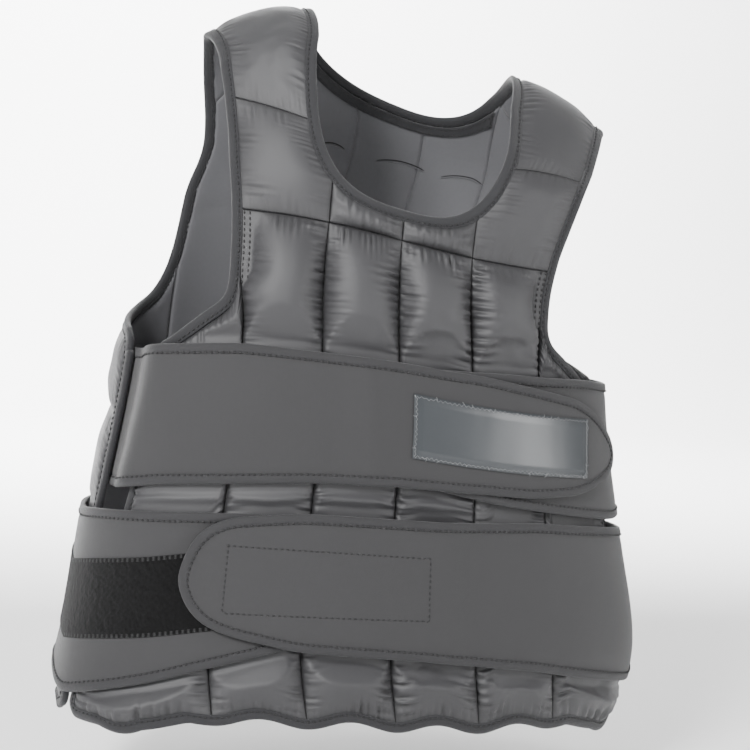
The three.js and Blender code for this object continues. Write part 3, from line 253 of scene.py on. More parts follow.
def form_tables():
    share = np.linspace(0, 1, 301)
    z = -np.concatenate([SHOULDER_ROUND * share**2, mix(SHOULDER_ROUND, FORM_HEIGHT * 1.2, share[1:])])
    profile = form_half_sizes(z)[1]
    run = np.concatenate([[0], np.cumsum(np.hypot(np.diff(z), np.diff(profile)))])
    downs = np.arange(0, DEEPEST + 1, TABLE_STEP)
    outs = np.arange(0, FURTHEST + 1, TABLE_STEP)
    heights = np.interp(downs, run, z)
    width, depth = form_half_sizes(heights)
    angle = np.linspace(0, np.pi / 2, 241)
    x = width[:, None] * np.sin(angle) ** (2 / SECTION_POWER)
    y = depth[:, None] * np.maximum(np.cos(angle), 0) ** (2 / SECTION_POWER)
    steps = np.cumsum(np.hypot(np.diff(x), np.diff(y)), 1)
    length = np.concatenate([np.zeros((len(downs), 1)), steps], 1)
    quarters = length[:, -1]
    points = np.zeros((len(downs), len(outs), 3))
    for i, quarter in enumerate(quarters):
        along = np.where(outs <= quarter, outs, 2 * quarter - outs)
        points[i, :, 0] = np.interp(along, length[i], x[i])
        points[i, :, 1] = np.where(outs <= quarter, 1, -1) * np.interp(along, length[i], y[i])
        points[i, :, 2] = heights[i]
    above = np.concatenate([points[1:2] * [1, -1, 1], points[:-1]])
    below = np.concatenate([points[1:], points[-1:]])
    inner = np.concatenate([points[:, 1:2] * [-1, 1, 1], points[:, :-1]], 1)
    outer = np.concatenate([points[:, 1:], points[:, -1:]], 1)
    normals = np.cross(below - above, outer - inner)
    normals /= np.linalg.norm(normals, axis=-1, keepdims=True) + 1e-12
    middle = np.array([0, 0, -FORM_HEIGHT / 2])
    normals *= np.where((normals * (points - middle)).sum(-1, keepdims=True) < 0, -1, 1)
    return downs, quarters, points, normals


DOWNS, QUARTERS, FORM_POINTS, FORM_NORMALS = form_tables()


def from_table(table, s, t):
    down, out = np.abs(t) / TABLE_STEP, np.abs(s) / TABLE_STEP
    i = np.clip(np.floor(down).astype(int), 0, table.shape[0] - 2)
    j = np.clip(np.floor(out).astype(int), 0, table.shape[1] - 2)
    fi, fj = (down - i)[..., None], (out - j)[..., None]
    value = mix(mix(table[i, j], table[i, j + 1], fj), mix(table[i + 1, j], table[i + 1, j + 1], fj), fi)
    value[..., 0] *= np.where(s < 0, -1, 1)
    value[..., 1] *= np.where(t > 0, 1, -1)
    return value


def quarter_length(depth):
    return np.interp(depth, DOWNS, QUARTERS)


def in_posture(points):
    """The lean, twist and uneven shoulders of the worn vest."""
    height = -points[..., 2] / FORM_HEIGHT
    twist, lean, tilt, sink = (eased(POSTURE, height, column) for column in (1, 2, 3, 4))
    fade = np.clip((points[..., 2] + SLOPE_FADE_END) / (SLOPE_FADE_END - SLOPE_FADE_TOP), 0, 1)
    slope = SHOULDER_SLOPE * np.maximum(np.abs(points[..., 0]) - NECK_HALF_WIDTH, 0) * fade
    uneven = tilt * TILT_REACH * np.tanh(points[..., 0] / TILT_REACH)
    angle = np.radians(twist)
    x = points[..., 0] * np.cos(angle) - points[..., 1] * np.sin(angle) + lean * HEM_HALF_WIDTH
    y = points[..., 0] * np.sin(angle) + points[..., 1] * np.cos(angle)
    return np.stack([x, y, points[..., 2] - slope - uneven - sink * FORM_HEIGHT], -1)


def place(s, t, lift):
    """Points of the vest in metres: places on the pattern, lifted off the form."""
    s, t, lift = np.broadcast_arrays(np.asarray(s, float), np.asarray(t, float), np.asarray(lift, float))
    normals = from_table(FORM_NORMALS, s, t)
    normals /= np.linalg.norm(normals, axis=-1, keepdims=True)
    return in_posture(from_table(FORM_POINTS, s, t) + normals * lift[..., None]) / 1000


# Edges of the panels.
def resampled(path, count):
    run = np.concatenate([[0], np.cumsum(np.linalg.norm(np.diff(path, axis=0), axis=1))])
    places = np.linspace(0, run[-1], count)
    return np.stack([np.interp(places, run, column) for column in path.T], 1)


def curve_through(rows, count):
    rows = np.array(rows, float)
    ends = np.vstack([rows[:1], rows, rows[-1:]])
    share = np.linspace(0, len(rows) - 1, 600)
    i = np.minimum(share.astype(int), len(rows) - 2)
    u = (share - i)[:, None]
    a, b, c, d = (ends[i + k] for k in range(4))
    path = 0.5 * (2 * b + (c - a) * u + (2 * a - 5 * b + 4 * c - d) * u**2 + (3 * b - a - 3 * c + d) * u**3)
    return resampled(path, count)


def side_edge(side, depth):
    if side == BACK:
        down = (depth - BACK_SIDE_TOP) / (PANEL_LENGTH - BACK_SIDE_TOP)
        return mix(BACK_SIDE_AT_TOP, BACK_SIDE_AT_HEM, down)
    down = np.clip((depth - FRONT_SIDE_TOP) / (PANEL_LENGTH - FRONT_SIDE_TOP), 0, 2)
    return mix(FRONT_SIDE_AT_TOP, FRONT_SIDE_AT_HEM, down**FRONT_SIDE_POWER)


def hem_level(side, out):
    last_seam = 2 * FRONT_CHANNEL_AT_HEM if side == FRONT else 2.5 * BACK_CHANNEL_AT_HEM
    return PANEL_LENGTH + HEM_SIDE_DROP * smooth((out - last_seam) / HEM_DROP_RUN)


ARM_POINTS = 110
SIDE_POINTS = 70
CORNER_POINTS = 10
HEM_POINTS = 90


def half_outline(side):
    """The edge of half a panel, down the armhole and the side and along the hem to the centre line."""
    armhole, top, at_top = (
        (FRONT_ARMHOLE, FRONT_SIDE_TOP, FRONT_SIDE_AT_TOP)
        if side == FRONT
        else (BACK_ARMHOLE, BACK_SIDE_TOP, BACK_SIDE_AT_TOP)
    )
    arm = curve_through(armhole, ARM_POINTS)
    bend = (at_top - 0.25 * TIP_CORNER, top + 0.3 * TIP_CORNER)
    tip = curve_through([arm[-1], bend, (at_top, top + TIP_CORNER)], CORNER_POINTS)
    side_end = hem_level(side, 1e6) - HEM_CORNER
    down = np.linspace(top + TIP_CORNER, side_end, SIDE_POINTS)
    edge = np.stack([side_edge(side, down), down], 1)
    angle = np.linspace(0, np.pi / 2, CORNER_POINTS)
    corner = edge[-1] + HEM_CORNER * np.stack([np.cos(angle) - 1, np.sin(angle)], 1)
    out = np.linspace(corner[-1, 0], 0, HEM_POINTS)
    hem = np.stack([out, hem_level(side, out)], 1)
    points = np.vstack([arm, tip[1:], edge[1:], corner[1:], hem[1:]])
    side_start = len(arm) + len(tip) - 2
    hem_start = side_start + len(edge) + len(corner) - 2
    side_stop = side_start + len(edge) - 1
    return {"points": points, "side_start": side_start, "side_end": side_stop, "hem_start": hem_start}


OUTLINES = {side: half_outline(side) for side in (FRONT, BACK)}


def hem_wave(side, out):
    seams = out / FRONT_CHANNEL_AT_HEM if side == FRONT else out / BACK_CHANNEL_AT_HEM + 0.5
    wave = np.cos(2 * np.pi * seams)
    return HEM_DIP * np.where(seams > (2 if side == FRONT else 3), np.maximum(wave, 0), wave)


def inset_outline(side, inset):
    """The outline moved into the cloth by a distance."""
    points = OUTLINES[side]["points"]
    run = np.gradient(points, axis=0)
    run /= np.linalg.norm(run, axis=1, keepdims=True)
    run[0] = (0, 1)
    wave = np.where(np.arange(len(points)) > OUTLINES[side]["hem_start"], hem_wave(side, points[:, 0]), 0)
    out = points[:, 0] - run[:, 1] * inset
    out[-1] = 0
    return np.stack([out, points[:, 1] + run[:, 0] * inset + wave], 1)


CLOTH_EDGES = {side: inset_outline(side, CLOTH_INSET) for side in (FRONT, BACK)}


def edge_out(side, down):
    """How far out the cloth's armhole and side edge lies at depths."""
    points = CLOTH_EDGES[side][: OUTLINES[side]["side_end"] + 1]
    order = np.maximum.accumulate(points[:, 1])
    return np.interp(down, order, points[:, 0])


def hem_down(side, out):
    points = CLOTH_EDGES[side][OUTLINES[side]["side_end"]:][::-1]
    return np.interp(out, np.maximum.accumulate(points[:, 0]), points[:, 1])


NECK_SHAPE = {
    FRONT: (FRONT_NECK_DEPTH, FRONT_NECK_STRAIGHT, FRONT_NECK_POWER),
    BACK: (BACK_NECK_DEPTH, 0, BACK_NECK_POWER),
}


def neck_widest(side, depth):
    if side == BACK:
        return NECK_AT_FOLD + 0 * np.asarray(depth, float)
    return mix(NECK_AT_FOLD, NECK_HALF_WIDTH, np.clip(depth / FRONT_NECK_STRAIGHT, 0, 1))


def neck_half(side, depth, grow):
    full, straight, power = NECK_SHAPE[side]
    share = np.clip((depth - straight) / (full - straight + grow), 0, 1)
    return (neck_widest(side, depth) + grow) * (1 - share**power) ** (1 / power)


def neck_depth(side, half, grow):
    full, straight, power = NECK_SHAPE[side]
    share = np.clip(np.abs(half) / (neck_widest(side, full) + grow), 0, 1)
    return straight + (full - straight + grow) * (1 - share**power) ** (1 / power)


# Patches between four edges. An edge gives (out, down) rows for shares along it.
def as_rows(out, down):
    out, down = np.broadcast_arrays(np.asarray(out, float), np.asarray(down, float))
    return np.stack([out, down], -1)


def straight_edge(start, end):
    return lambda share: as_rows(mix(start[0], end[0], share), mix(start[1], end[1], share))


def point_on(edge, share):
    return edge(np.array([float(share)]))[0]


def patch_between(inner, outer, top, bottom):
    ends = np.array([0.0, 1.0])

    def patch(u, v):
        (tl, bl), (tr, br) = inner(ends), outer(ends)
        uu, vv = u[None, :, None], v[:, None, None]
        sides = mix(inner(v)[:, None], outer(v)[:, None], uu) + mix(top(u)[None], bottom(u)[None], vv)
        return sides - mix(mix(tl, tr, uu), mix(bl, br, uu), vv)

    return patch


def stretch(path):
    """A path as an edge, by share of its length."""
    run = np.concatenate([[0], np.cumsum(np.linalg.norm(np.diff(path, axis=0), axis=1))])
    return lambda share: np.stack([np.interp(share * run[-1], run, column) for column in path.T], -1)


HEM_REST = PANEL_LENGTH - CLOTH_INSET


def front_seam_out(number, depth):
    down = np.clip((depth - YOKE_SEAM) / (HEM_REST - YOKE_SEAM), 0, 1)
    return number * mix(FRONT_CHANNEL_AT_YOKE, FRONT_CHANNEL_AT_HEM, down)


def front_seam(number):
    bottom = hem_down(FRONT, front_seam_out(number, HEM_REST))

    def seam(v):
        down = mix(YOKE_SEAM, bottom, v)
        return as_rows(front_seam_out(number, down), down)

    return seam


FRONT_SEAMS = [0.0] + [row * FRONT_ROW / (HEM_REST - YOKE_SEAM) for row in (1, 2)] + [1.0]
FRONT_FLAP_SHARE = 0.32 * FRONT_SEAMS[1]


def front_arm_seam(v):
    seam = front_seam(2)(v)
    corner = edge_out(FRONT, mix(YOKE_SEAM, HEM_REST, FRONT_FLAP_SHARE))
    inwards = smooth((v - FRONT_FLAP_SHARE) / 0.1)
    below = mix(corner, seam[..., 0], inwards)
    return as_rows(np.where(v < FRONT_FLAP_SHARE, edge_out(FRONT, seam[..., 1]), below), seam[..., 1])


def hem_between(side, start, end):
    def edge(u):
        out = mix(start, end, u)
        return as_rows(out, hem_down(side, np.abs(out)))

    return edge


def front_channel_patch(number):
    inner = front_seam(number)
    outer = front_arm_seam if number == 1 else front_seam(number + 1)
    top = straight_edge(point_on(inner, 0), point_on(outer, 0))
    hem = hem_between(FRONT, point_on(inner, 1)[0], point_on(outer, 1)[0])
    return patch_between(inner, outer, top, hem)


ARM_CURVE_CLEARANCE = 1.8


def side_patch(side, inner):
    """The short side channel below an armhole."""
    points = CLOTH_EDGES[side]
    start, end = OUTLINES[side]["side_start"], OUTLINES[side]["side_end"]
    corner = point_on(inner, 0)
    reach = np.maximum.accumulate(points[: start + 1, 1])
    first = np.searchsorted(reach, corner[1])
    arm_top = [np.interp(corner[1], reach, points[: start + 1, 0]), corner[1]]
    arm = stretch(np.vstack([arm_top, points[first : start + 1]]))
    arm_start = point_on(arm, 0)

    def top(u):
        fade = np.clip(1 - 2 * u, 0, 1)[:, None]
        rows = arm(u) + (corner - arm_start) * fade
        rows[:, 1] += ARM_CURVE_CLEARANCE * 4 * u * (1 - u)
        return rows

    hem_out = point_on(inner, 1)[0]
    last = end + np.searchsorted(-points[end:, 0], -hem_out)
    hem = stretch(np.vstack([points[end:last], [hem_out, hem_down(side, hem_out)]]))
    outer = stretch(points[start : end + 1])
    return patch_between(inner, outer, top, lambda u: hem(1 - u))


PAD_SEAM = (neck_half(FRONT, PAD_SEAM_AT_NECK, NECK_INSET), PAD_SEAM_AT_NECK)
PAD_SEAM_ARM = (edge_out(FRONT, PAD_SEAM_AT_ARM), PAD_SEAM_AT_ARM)
YOKE_SPLIT = (FRONT_CHANNEL_AT_YOKE, neck_depth(FRONT, FRONT_CHANNEL_AT_YOKE, NECK_INSET))
YOKE_SPLIT_SHARE = 0.64


def outer_yoke_inner(v):
    down = mix(PAD_SEAM_AT_NECK, YOKE_SPLIT[1], np.minimum(v / YOKE_SPLIT_SHARE, 1))
    along_neck = as_rows(neck_half(FRONT, down, NECK_INSET), down)
    end = (FRONT_CHANNEL_AT_YOKE, YOKE_SEAM)
    along_split = straight_edge(YOKE_SPLIT, end)((v - YOKE_SPLIT_SHARE) / (1 - YOKE_SPLIT_SHARE))
    return np.where((v > YOKE_SPLIT_SHARE)[:, None], along_split, along_neck)


def yoke_patches():
    end = (FRONT_CHANNEL_AT_YOKE, YOKE_SEAM)

    def arm_side(v):
        down = mix(PAD_SEAM_AT_ARM, YOKE_SEAM, v)
        return as_rows(edge_out(FRONT, down), down)

    def neck_top(u):
        out = mix(0, YOKE_SPLIT[0], u)
        return as_rows(out, neck_depth(FRONT, out, NECK_INSET))

    outer = patch_between(
        outer_yoke_inner, arm_side, straight_edge(PAD_SEAM, PAD_SEAM_ARM),
        straight_edge(end, point_on(front_arm_seam, 0)),
    )
    centre_top = (0, neck_depth(FRONT, 0, NECK_INSET))
    centre = patch_between(
        straight_edge(centre_top, (0, YOKE_SEAM)), straight_edge(YOKE_SPLIT, end), neck_top,
        straight_edge((0, YOKE_SEAM), end),
    )
    return centre, outer


def back_seam_out(number, depth):
    down = np.clip((depth - BACK_FIRST_ROW_END) / (HEM_REST - BACK_FIRST_ROW_END), 0, 1)
    return number * mix(BACK_CHANNEL_AT_TOP, BACK_CHANNEL_AT_HEM, down)


BACK_TOP = BACK_NECK_DEPTH + CLOTH_INSET
BACK_SPAN = HEM_REST - BACK_TOP
BACK_SEAMS = [0.0]
BACK_SEAMS += [(BACK_FIRST_ROW_END + row * BACK_ROW - BACK_TOP) / BACK_SPAN for row in range(3)]
BACK_SEAMS += [1.0]
BACK_FLAP_DEPTH = BACK_FIRST_ROW_END + 0.4 * BACK_ROW


def back_down(top, bottom, v):
    first = BACK_SEAMS[1]
    upper = mix(top, BACK_FIRST_ROW_END, v / first)
    return np.where(v < first, upper, mix(BACK_FIRST_ROW_END, bottom, (v - first) / (1 - first)))


def back_seam(number):
    top = neck_depth(BACK, back_seam_out(number, 0), NECK_INSET)
    bottom = hem_down(BACK, back_seam_out(number, HEM_REST))

    def seam(v):
        down = back_down(top, bottom, v)
        return as_rows(back_seam_out(number, down), down)

    return seam


def back_arm_seam(v):
    hem_out = back_seam_out(2.5, HEM_REST)
    down = back_down(BACK_PAD_SEAM_AT_ARM, hem_down(BACK, hem_out), v)
    corner = edge_out(BACK, BACK_FLAP_DEPTH)
    share = np.clip((down - BACK_FLAP_DEPTH) / (HEM_REST - BACK_FLAP_DEPTH), 0, 1)
    out = np.where(down < BACK_FLAP_DEPTH, edge_out(BACK, down), mix(corner, hem_out, share))
    return as_rows(out, down)


def back_patches():
    half, outer = back_seam(0.5), back_seam(1.5)
    pad_seam = straight_edge(point_on(outer, 0), point_on(back_arm_seam, 0))

    def neck_between(start, end):
        def edge(u):
            out = mix(start, end, u)
            return as_rows(out, neck_depth(BACK, out, NECK_INSET))

        return edge

    def mirrored(v):
        return half(v) * [-1, 1]

    a, b = point_on(half, 0)[0], point_on(outer, 0)[0]
    c, d, e = point_on(half, 1)[0], point_on(outer, 1)[0], point_on(back_arm_seam, 1)[0]
    centre = patch_between(mirrored, half, neck_between(-a, a), hem_between(BACK, -c, c))
    middle = patch_between(half, outer, neck_between(a, b), hem_between(BACK, c, d))
    arm = patch_between(outer, back_arm_seam, pad_seam, hem_between(BACK, d, e))
    return centre, middle, arm, pad_seam


def pad_patch(pad_seam):
    """The shoulder pad over the fold. Its depth keeps its sign, negative on the front."""
    back_top = point_on(back_seam(1.5), 0)[1]

    def over_fold(front_down, back_down_to, out_at):
        def edge(v):
            t = mix(-front_down, back_down_to, v)
            out = np.where(t < 0, out_at(FRONT, np.abs(t)), out_at(BACK, np.abs(t)))
            return as_rows(out, t)

        return edge

    front_seam_line = straight_edge(PAD_SEAM, PAD_SEAM_ARM)
    return patch_between(
        over_fold(PAD_SEAM_AT_NECK, back_top, lambda side, depth: neck_half(side, depth, NECK_INSET)),
        over_fold(PAD_SEAM_AT_ARM, BACK_PAD_SEAM_AT_ARM, edge_out),
        lambda u: front_seam_line(u) * [1, -1],
        pad_seam,
    )


# Belts round the body.
def belt_row(name, s):
    belt = BELTS[name]
    reach, drop, width = np.array(belt["outline"]).T
    at = s / belt["reach"]
    middle = belt["level"] + BELT_WIDTH * np.interp(at, reach, drop)
    half = BELT_WIDTH / 2 * np.interp(at, reach, width)
    return middle - half, middle + half


def belt_ends(name):
    belt = BELTS[name]
    return belt["outline"][0][0] * belt["reach"], belt["outline"][-1][0] * belt["reach"]


def back_edge_round(depth):
    return 2 * quarter_length(depth) - side_edge(BACK, depth)


def belt_lift(name, s, depth):
    """How far a belt's inner face lies off the form."""
    s, depth = np.broadcast_arrays(np.asarray(s, float), np.asarray(depth, float))
    if name == "upper_belt_left":
        clear = back_edge_round(depth) - TUCK_MARGIN + s
        climbed = mix(-TUCK_DEPTH - BELT_THICKNESS, BELT_SEAT, smooth(clear / BELT_CLIMB))
        onto = smooth((s - belt_ends("upper_belt_right")[0] + LIFT_RUN) / (0.7 * LIFT_RUN))
        return climbed + (BELT_THICKNESS + 2 * LAYER_GAP) * onto
    if name == "lower_belt_right":
        over = BELT_THICKNESS + LOOP_THICKNESS + 3 * LAYER_GAP
        onto = smooth((belt_ends("lower_belt_left")[1] + LIFT_RUN - s) / (0.7 * LIFT_RUN))
        return BELT_SEAT + over * onto
    return np.full(s.shape, float(BELT_SEAT))


def room_at(side, s, depth):
    """The height that stuffing may reach below and beside the belts."""
    around = s if side == FRONT else np.where(s < 0, -1, 1) * (2 * quarter_length(depth) - np.abs(s))
    clear = np.full(np.shape(s), np.inf)
    for name in BELTS:
        start, end = belt_ends(name)
        outside = np.maximum(np.maximum(start - around, around - end), 0)
        top, bottom = belt_row(name, around)
        off = np.hypot(outside, np.maximum(np.maximum(top - depth, depth - bottom), 0))
        if name == "upper_belt_left":
            off = np.where(around < -back_edge_round(depth), np.inf, off)
        clear = np.minimum(clear, off)
    return BELT_SEAT - BELT_CLEARANCE + SWELL_SLOPE * np.maximum(0, clear - SWELL_MARGIN)


# Meshes.
def pattern_uv(s, t):
    """The pattern in metres, moved so that all of it has values from 0 to 1."""
    return np.stack([(s + FURTHEST) / 1000 + 0.05, (t + DEEPEST) / 1300], -1)


def grid_faces(rows, columns, start=0, flipped=False):
    index = start + np.arange(rows * columns).reshape(rows, columns)
    faces = np.stack([index[:-1, :-1], index[:-1, 1:], index[1:, 1:], index[1:, :-1]], -1).reshape(-1, 4)
    return faces[:, ::-1] if flipped else faces


def shell_faces(rows, columns):
    """Faces of two grids, outer and inner, joined round their rim."""
    outer = grid_faces(rows, columns)
    inner = grid_faces(rows, columns, rows * columns, True)
    index = np.arange(rows * columns).reshape(rows, columns)
    rim = np.concatenate([index[0, :-1], index[:-1, -1], index[-1, :0:-1], index[:0:-1, 0]])
    after = np.roll(rim, -1)
    walls = np.stack([after, rim, rim + rows * columns, after + rows * columns], -1)
    return np.concatenate([outer, inner, walls])


def add_mesh(name, points, faces, materials, uv=None, kinds=None):
    mesh = bpy.data.meshes.new(name)
    mesh.from_pydata(points.tolist(), [], faces if isinstance(faces, list) else faces.tolist())
    if uv is not None:
        layer = mesh.uv_layers.new(name="Pattern")
        corners = np.zeros(len(mesh.loops), np.int32)
        mesh.loops.foreach_get("vertex_index", corners)
        layer.data.foreach_set("uv", uv[corners].astype(np.float32).ravel())
    for material in materials:
        mesh.materials.append(material)
    if kinds is not None:
        mesh.polygons.foreach_set("material_index", np.asarray(kinds, np.int32))
    mesh.shade_smooth()
    obj = bpy.data.objects.new(name, mesh)
    bpy.context.scene.collection.objects.link(obj)
    return obj


def face_out(obj):
    """Turns the faces of a closed mesh outwards, by the sign of its volume."""
    mesh = obj.data
    points = np.zeros(len(mesh.vertices) * 3, np.float32)
    mesh.vertices.foreach_get("co", points)
    points = points.reshape(-1, 3).astype(float)
    mesh.calc_loop_triangles()
    corners = np.zeros(len(mesh.loop_triangles) * 3, np.int32)
    mesh.loop_triangles.foreach_get("vertices", corners)
    a, b, c = (points[corners.reshape(-1, 3)[:, k]] - points.mean(0) for k in range(3))
    if (a * np.cross(b, c)).sum() < 0:
        mesh.flip_normals()


def joined_mesh(name, parts, materials):
    """One object from parts given as (points, faces, uv, kind)."""
    points, faces, uvs, kinds, start = [], [], [], [], 0
    for part_points, part_faces, uv, kind in parts:
        points.append(part_points)
        faces.extend([[int(corner) + start for corner in face] for face in part_faces])
        uvs.append(uv)
        kinds.extend([kind] * len(part_faces))
        start += len(part_points)
    return add_mesh(name, np.concatenate(points), faces, materials, np.concatenate(uvs), kinds)


def declare(obj, node=None):
    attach(obj, "root")
    if node:
        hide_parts(node)
    return obj


# Stuffed pieces.
def crown(share):
    return 1 - np.abs(2 * share - 1) ** CROWN_POWER


def fullness(seams, v):
    seams = np.array(seams)
    i = np.clip(np.searchsorted(seams, v, side="right") - 1, 0, len(seams) - 2)
    return crown(np.clip((v - seams[i]) / (seams[i + 1] - seams[i]), 0, 1))


def curved_up(table, factor, axis):
    """A table with more rows along one axis, on cubic curves through its own."""
    table = np.moveaxis(table, axis, 0)
    count = (len(table) - 1) * factor + 1
    share = np.linspace(0, len(table) - 1, count)
    i = np.minimum(share.astype(int), len(table) - 2)
    u = (share - i).reshape((-1,) + (1,) * (table.ndim - 1))
    a, d = table[np.maximum(i - 1, 0)], table[np.minimum(i + 2, len(table) - 1)]
    b, c = table[i], table[i + 1]
    fine = 0.5 * (2 * b + (c - a) * u + (2 * a - 5 * b + 4 * c - d) * u**2 + (3 * b - a - 3 * c + d) * u**3)
    return np.moveaxis(fine, 0, axis)


SIM_STEP = 2.6
SIM_FRAMES = 20
FINE = 2
STRIP = 9


def stuffed_pieces():
    """Every stuffed piece as a patch, its seams down, its height and which half and panel it is on."""
    centre_yoke, outer_yoke = yoke_patches()
    centre, middle, arm, pad_seam = back_patches()
    front_flap = side_patch(FRONT, lambda v: front_arm_seam(mix(FRONT_FLAP_SHARE, 1, v)))
    past_first_row = (BACK_FLAP_DEPTH - BACK_FIRST_ROW_END) / (HEM_REST - BACK_FIRST_ROW_END)
    flap_start = BACK_SEAMS[1] + past_first_row * (1 - BACK_SEAMS[1])
    back_flap = side_patch(BACK, lambda v: back_arm_seam(mix(flap_start, 1, v)))

    def past(seams, start):
        return [0.0] + [(seam - start) / (1 - start) for seam in seams if seam > start + 1e-6]

    def stuffed(name, patch, sign, side, seams, **more):
        return {"name": name, "patch": patch, "sign": sign, "side": side, "seams": seams, **more}

    ends, full = [0.0, 1.0], BACK_SEAMS
    front_short, back_short = past(FRONT_SEAMS, FRONT_FLAP_SHARE), past(BACK_SEAMS, flap_start)
    pieces = [stuffed("back_channel_4", centre, 1, BACK, full)]
    for sign, half in ((-1, "left"), (1, "right")):
        yokes, fronts = ((2, 1), (3, 2, 1)) if sign < 0 else ((3, 4), (4, 5, 6))
        pieces += [
            stuffed(f"shoulder_pad_{half}", pad_patch(pad_seam), sign, BACK, ends, height=PAD_HEIGHT),
            stuffed(f"front_yoke_{yokes[0]}", centre_yoke, sign, FRONT, ends, height=YOKE_HEIGHT),
            stuffed(f"front_yoke_{yokes[1]}", outer_yoke, sign, FRONT, ends, height=YOKE_HEIGHT),
            stuffed(f"front_channel_{fronts[0]}", front_channel_patch(0), sign, FRONT, FRONT_SEAMS),
            stuffed(
                f"front_channel_{fronts[1]}", front_channel_patch(1), sign, FRONT, FRONT_SEAMS,
                strip_until=FRONT_FLAP_SHARE,
            ),
            stuffed(f"front_channel_{fronts[2]}", front_flap, sign, FRONT, front_short),
            stuffed(f"back_channel_{4 + sign}", middle, sign, BACK, full),
            stuffed(f"back_channel_{4 + 2 * sign}", arm, sign, BACK, full, strip_until=flap_start),
            stuffed(f"back_channel_{4 + 3 * sign}", back_flap, sign, BACK, back_short, height=FLAP_HEIGHT),
        ]
    return pieces


def patch_size(patch):
    ends, middle = np.array([0.0, 1.0]), np.array([0.5])
    across = patch(ends, middle)[0]
    along = patch(middle, ends)[:, 0]
    return np.linalg.norm(across[1] - across[0]), np.linalg.norm(along[1] - along[0])


def stuffed_grid(piece, factor):
    """The pattern places, shares and full height of a stuffed piece on an even grid."""
    width, length = patch_size(piece["patch"])
    columns = max(6, round(width / SIM_STEP)) * factor + 1
    rows = max(6, round(length / SIM_STEP)) * factor + 1
    in_u, in_v = SEAM_GAP / 2 / width, SEAM_GAP / 2 / length
    u, v = np.linspace(0, 1, columns), np.linspace(0, 1, rows)
    spots = piece["patch"](np.clip(u, in_u, 1 - in_u), np.clip(v, in_v, 1 - in_v))
    s, t = piece["sign"] * spots[..., 0], piece["side"] * spots[..., 1]
    across = np.broadcast_to(u, s.shape)
    if "strip_until" in piece:
        strip = STRIP / width * (1 - smooth((v - piece["strip_until"]) / 0.06))
        across = np.clip(u[None] / (1 - strip[:, None]), 0, 1)
    full = piece.get("height", PILLOW_HEIGHT) * crown(across) * fullness(piece["seams"], v)[:, None]
    return {"s": s, "t": t, "u": u, "v": v, "full": full, "width": width, "length": length}


def seam_rows(piece, v):
    return np.unique([int(np.abs(v - seam).argmin()) for seam in piece["seams"]])


def swell(pieces, grids, pressure, slack):
    """Cloth simulation of all outer faces at once: sewn at the seams, cut a little large, and blown up."""
    points, faces, pins, start = [], [], [], 0
    for piece, grid in zip(pieces, grids):
        rows, columns = grid["s"].shape
        index = start + np.arange(rows * columns).reshape(rows, columns)
        points.append(place(grid["s"], grid["t"], grid["lift"]).reshape(-1, 3))
        faces.append(grid_faces(rows, columns, start))
        held = [index[:, 0], index[:, -1]] + [index[row] for row in seam_rows(piece, grid["v"])]
        pins.extend(np.concatenate(held).tolist())
        start += rows * columns
    points = np.concatenate(points)
    sheet = add_mesh("swelling_cloth", points, np.concatenate(faces), [])
    sheet.vertex_groups.new(name="seams").add(sorted(set(pins)), 1.0, "REPLACE")
    cloth = sheet.modifiers.new("Cloth", "CLOTH")
    settings = cloth.settings
    settings.quality = 4
    settings.mass = 0.15
    settings.air_damping = 3
    settings.tension_stiffness = 12
    settings.compression_stiffness = 8
    settings.shear_stiffness = 3
    settings.bending_stiffness = 0.05
    settings.shrink_min = -slack
    settings.use_pressure = True
    settings.uniform_pressure_force = pressure
    settings.vertex_group_mass = "seams"
    settings.effector_weights.gravity = 0
    cloth.collision_settings.use_collision = False
    cloth.point_cache.frame_start = 1
    cloth.point_cache.frame_end = SIM_FRAMES
    for number in range(1, SIM_FRAMES + 1):
        bpy.context.scene.frame_set(number)
    swollen = sheet.evaluated_get(bpy.context.evaluated_depsgraph_get())
    moved = np.zeros(len(points) * 3, np.float32)
    swollen.data.vertices.foreach_get("co", moved)
    bpy.context.scene.frame_set(1)
    bpy.data.objects.remove(sheet)
    return (moved.reshape(-1, 3) - points) * 1000


def pinches(piece, grid, depth, seed):
    """Short folds in the cloth, square to the seams it is gathered on, as heights in millimetres."""
    rng = np.random.default_rng(seed)
    s, u, v = grid["s"], grid["u"], grid["v"]
    total = np.zeros(s.shape)

    def folds(along, reach):
        phase, waves = rng.uniform(0, 2 * np.pi, 7), rng.uniform(3.2, 8, 7)
        ridge = sum(np.sin(2 * np.pi * along / wave + start) for wave, start in zip(waves, phase)) / 2.6
        slow = np.sin(along / rng.uniform(9, 16) + phase[0])
        slow = slow * np.sin(along / rng.uniform(17, 30) + phase[1])
        return ridge, reach * (0.55 + 0.75 * np.abs(slow))

    down = v * grid["length"]
    wide = u * grid["width"]
    for edge in (0, 1):
        ridge, reach = folds(down, 11)
        off = np.abs(wide - edge * grid["width"])[None]
        total += ridge[:, None] * (1 - np.exp(-off / 1.1)) * np.exp(-((off / reach[:, None]) ** 2))
    for seam in piece["seams"]:
        ridge, reach = folds(wide, 9)
        off = np.abs(down - seam * grid["length"])[:, None]
        total += ridge[None] * (1 - np.exp(-off / 1.1)) * np.exp(-((off / reach[None]) ** 2))
    return depth * total


def even_out(table, rounds):
    """A table of moves with its sharpest bends taken out, and its rim kept."""
    table = table.copy()
    for _ in range(rounds):
        for axis in (0, 1):
            rows = np.moveaxis(table, axis, 0)
            rows[1:-1] = (rows[:-2] + 2 * rows[1:-1] + rows[2:]) / 4
    return table


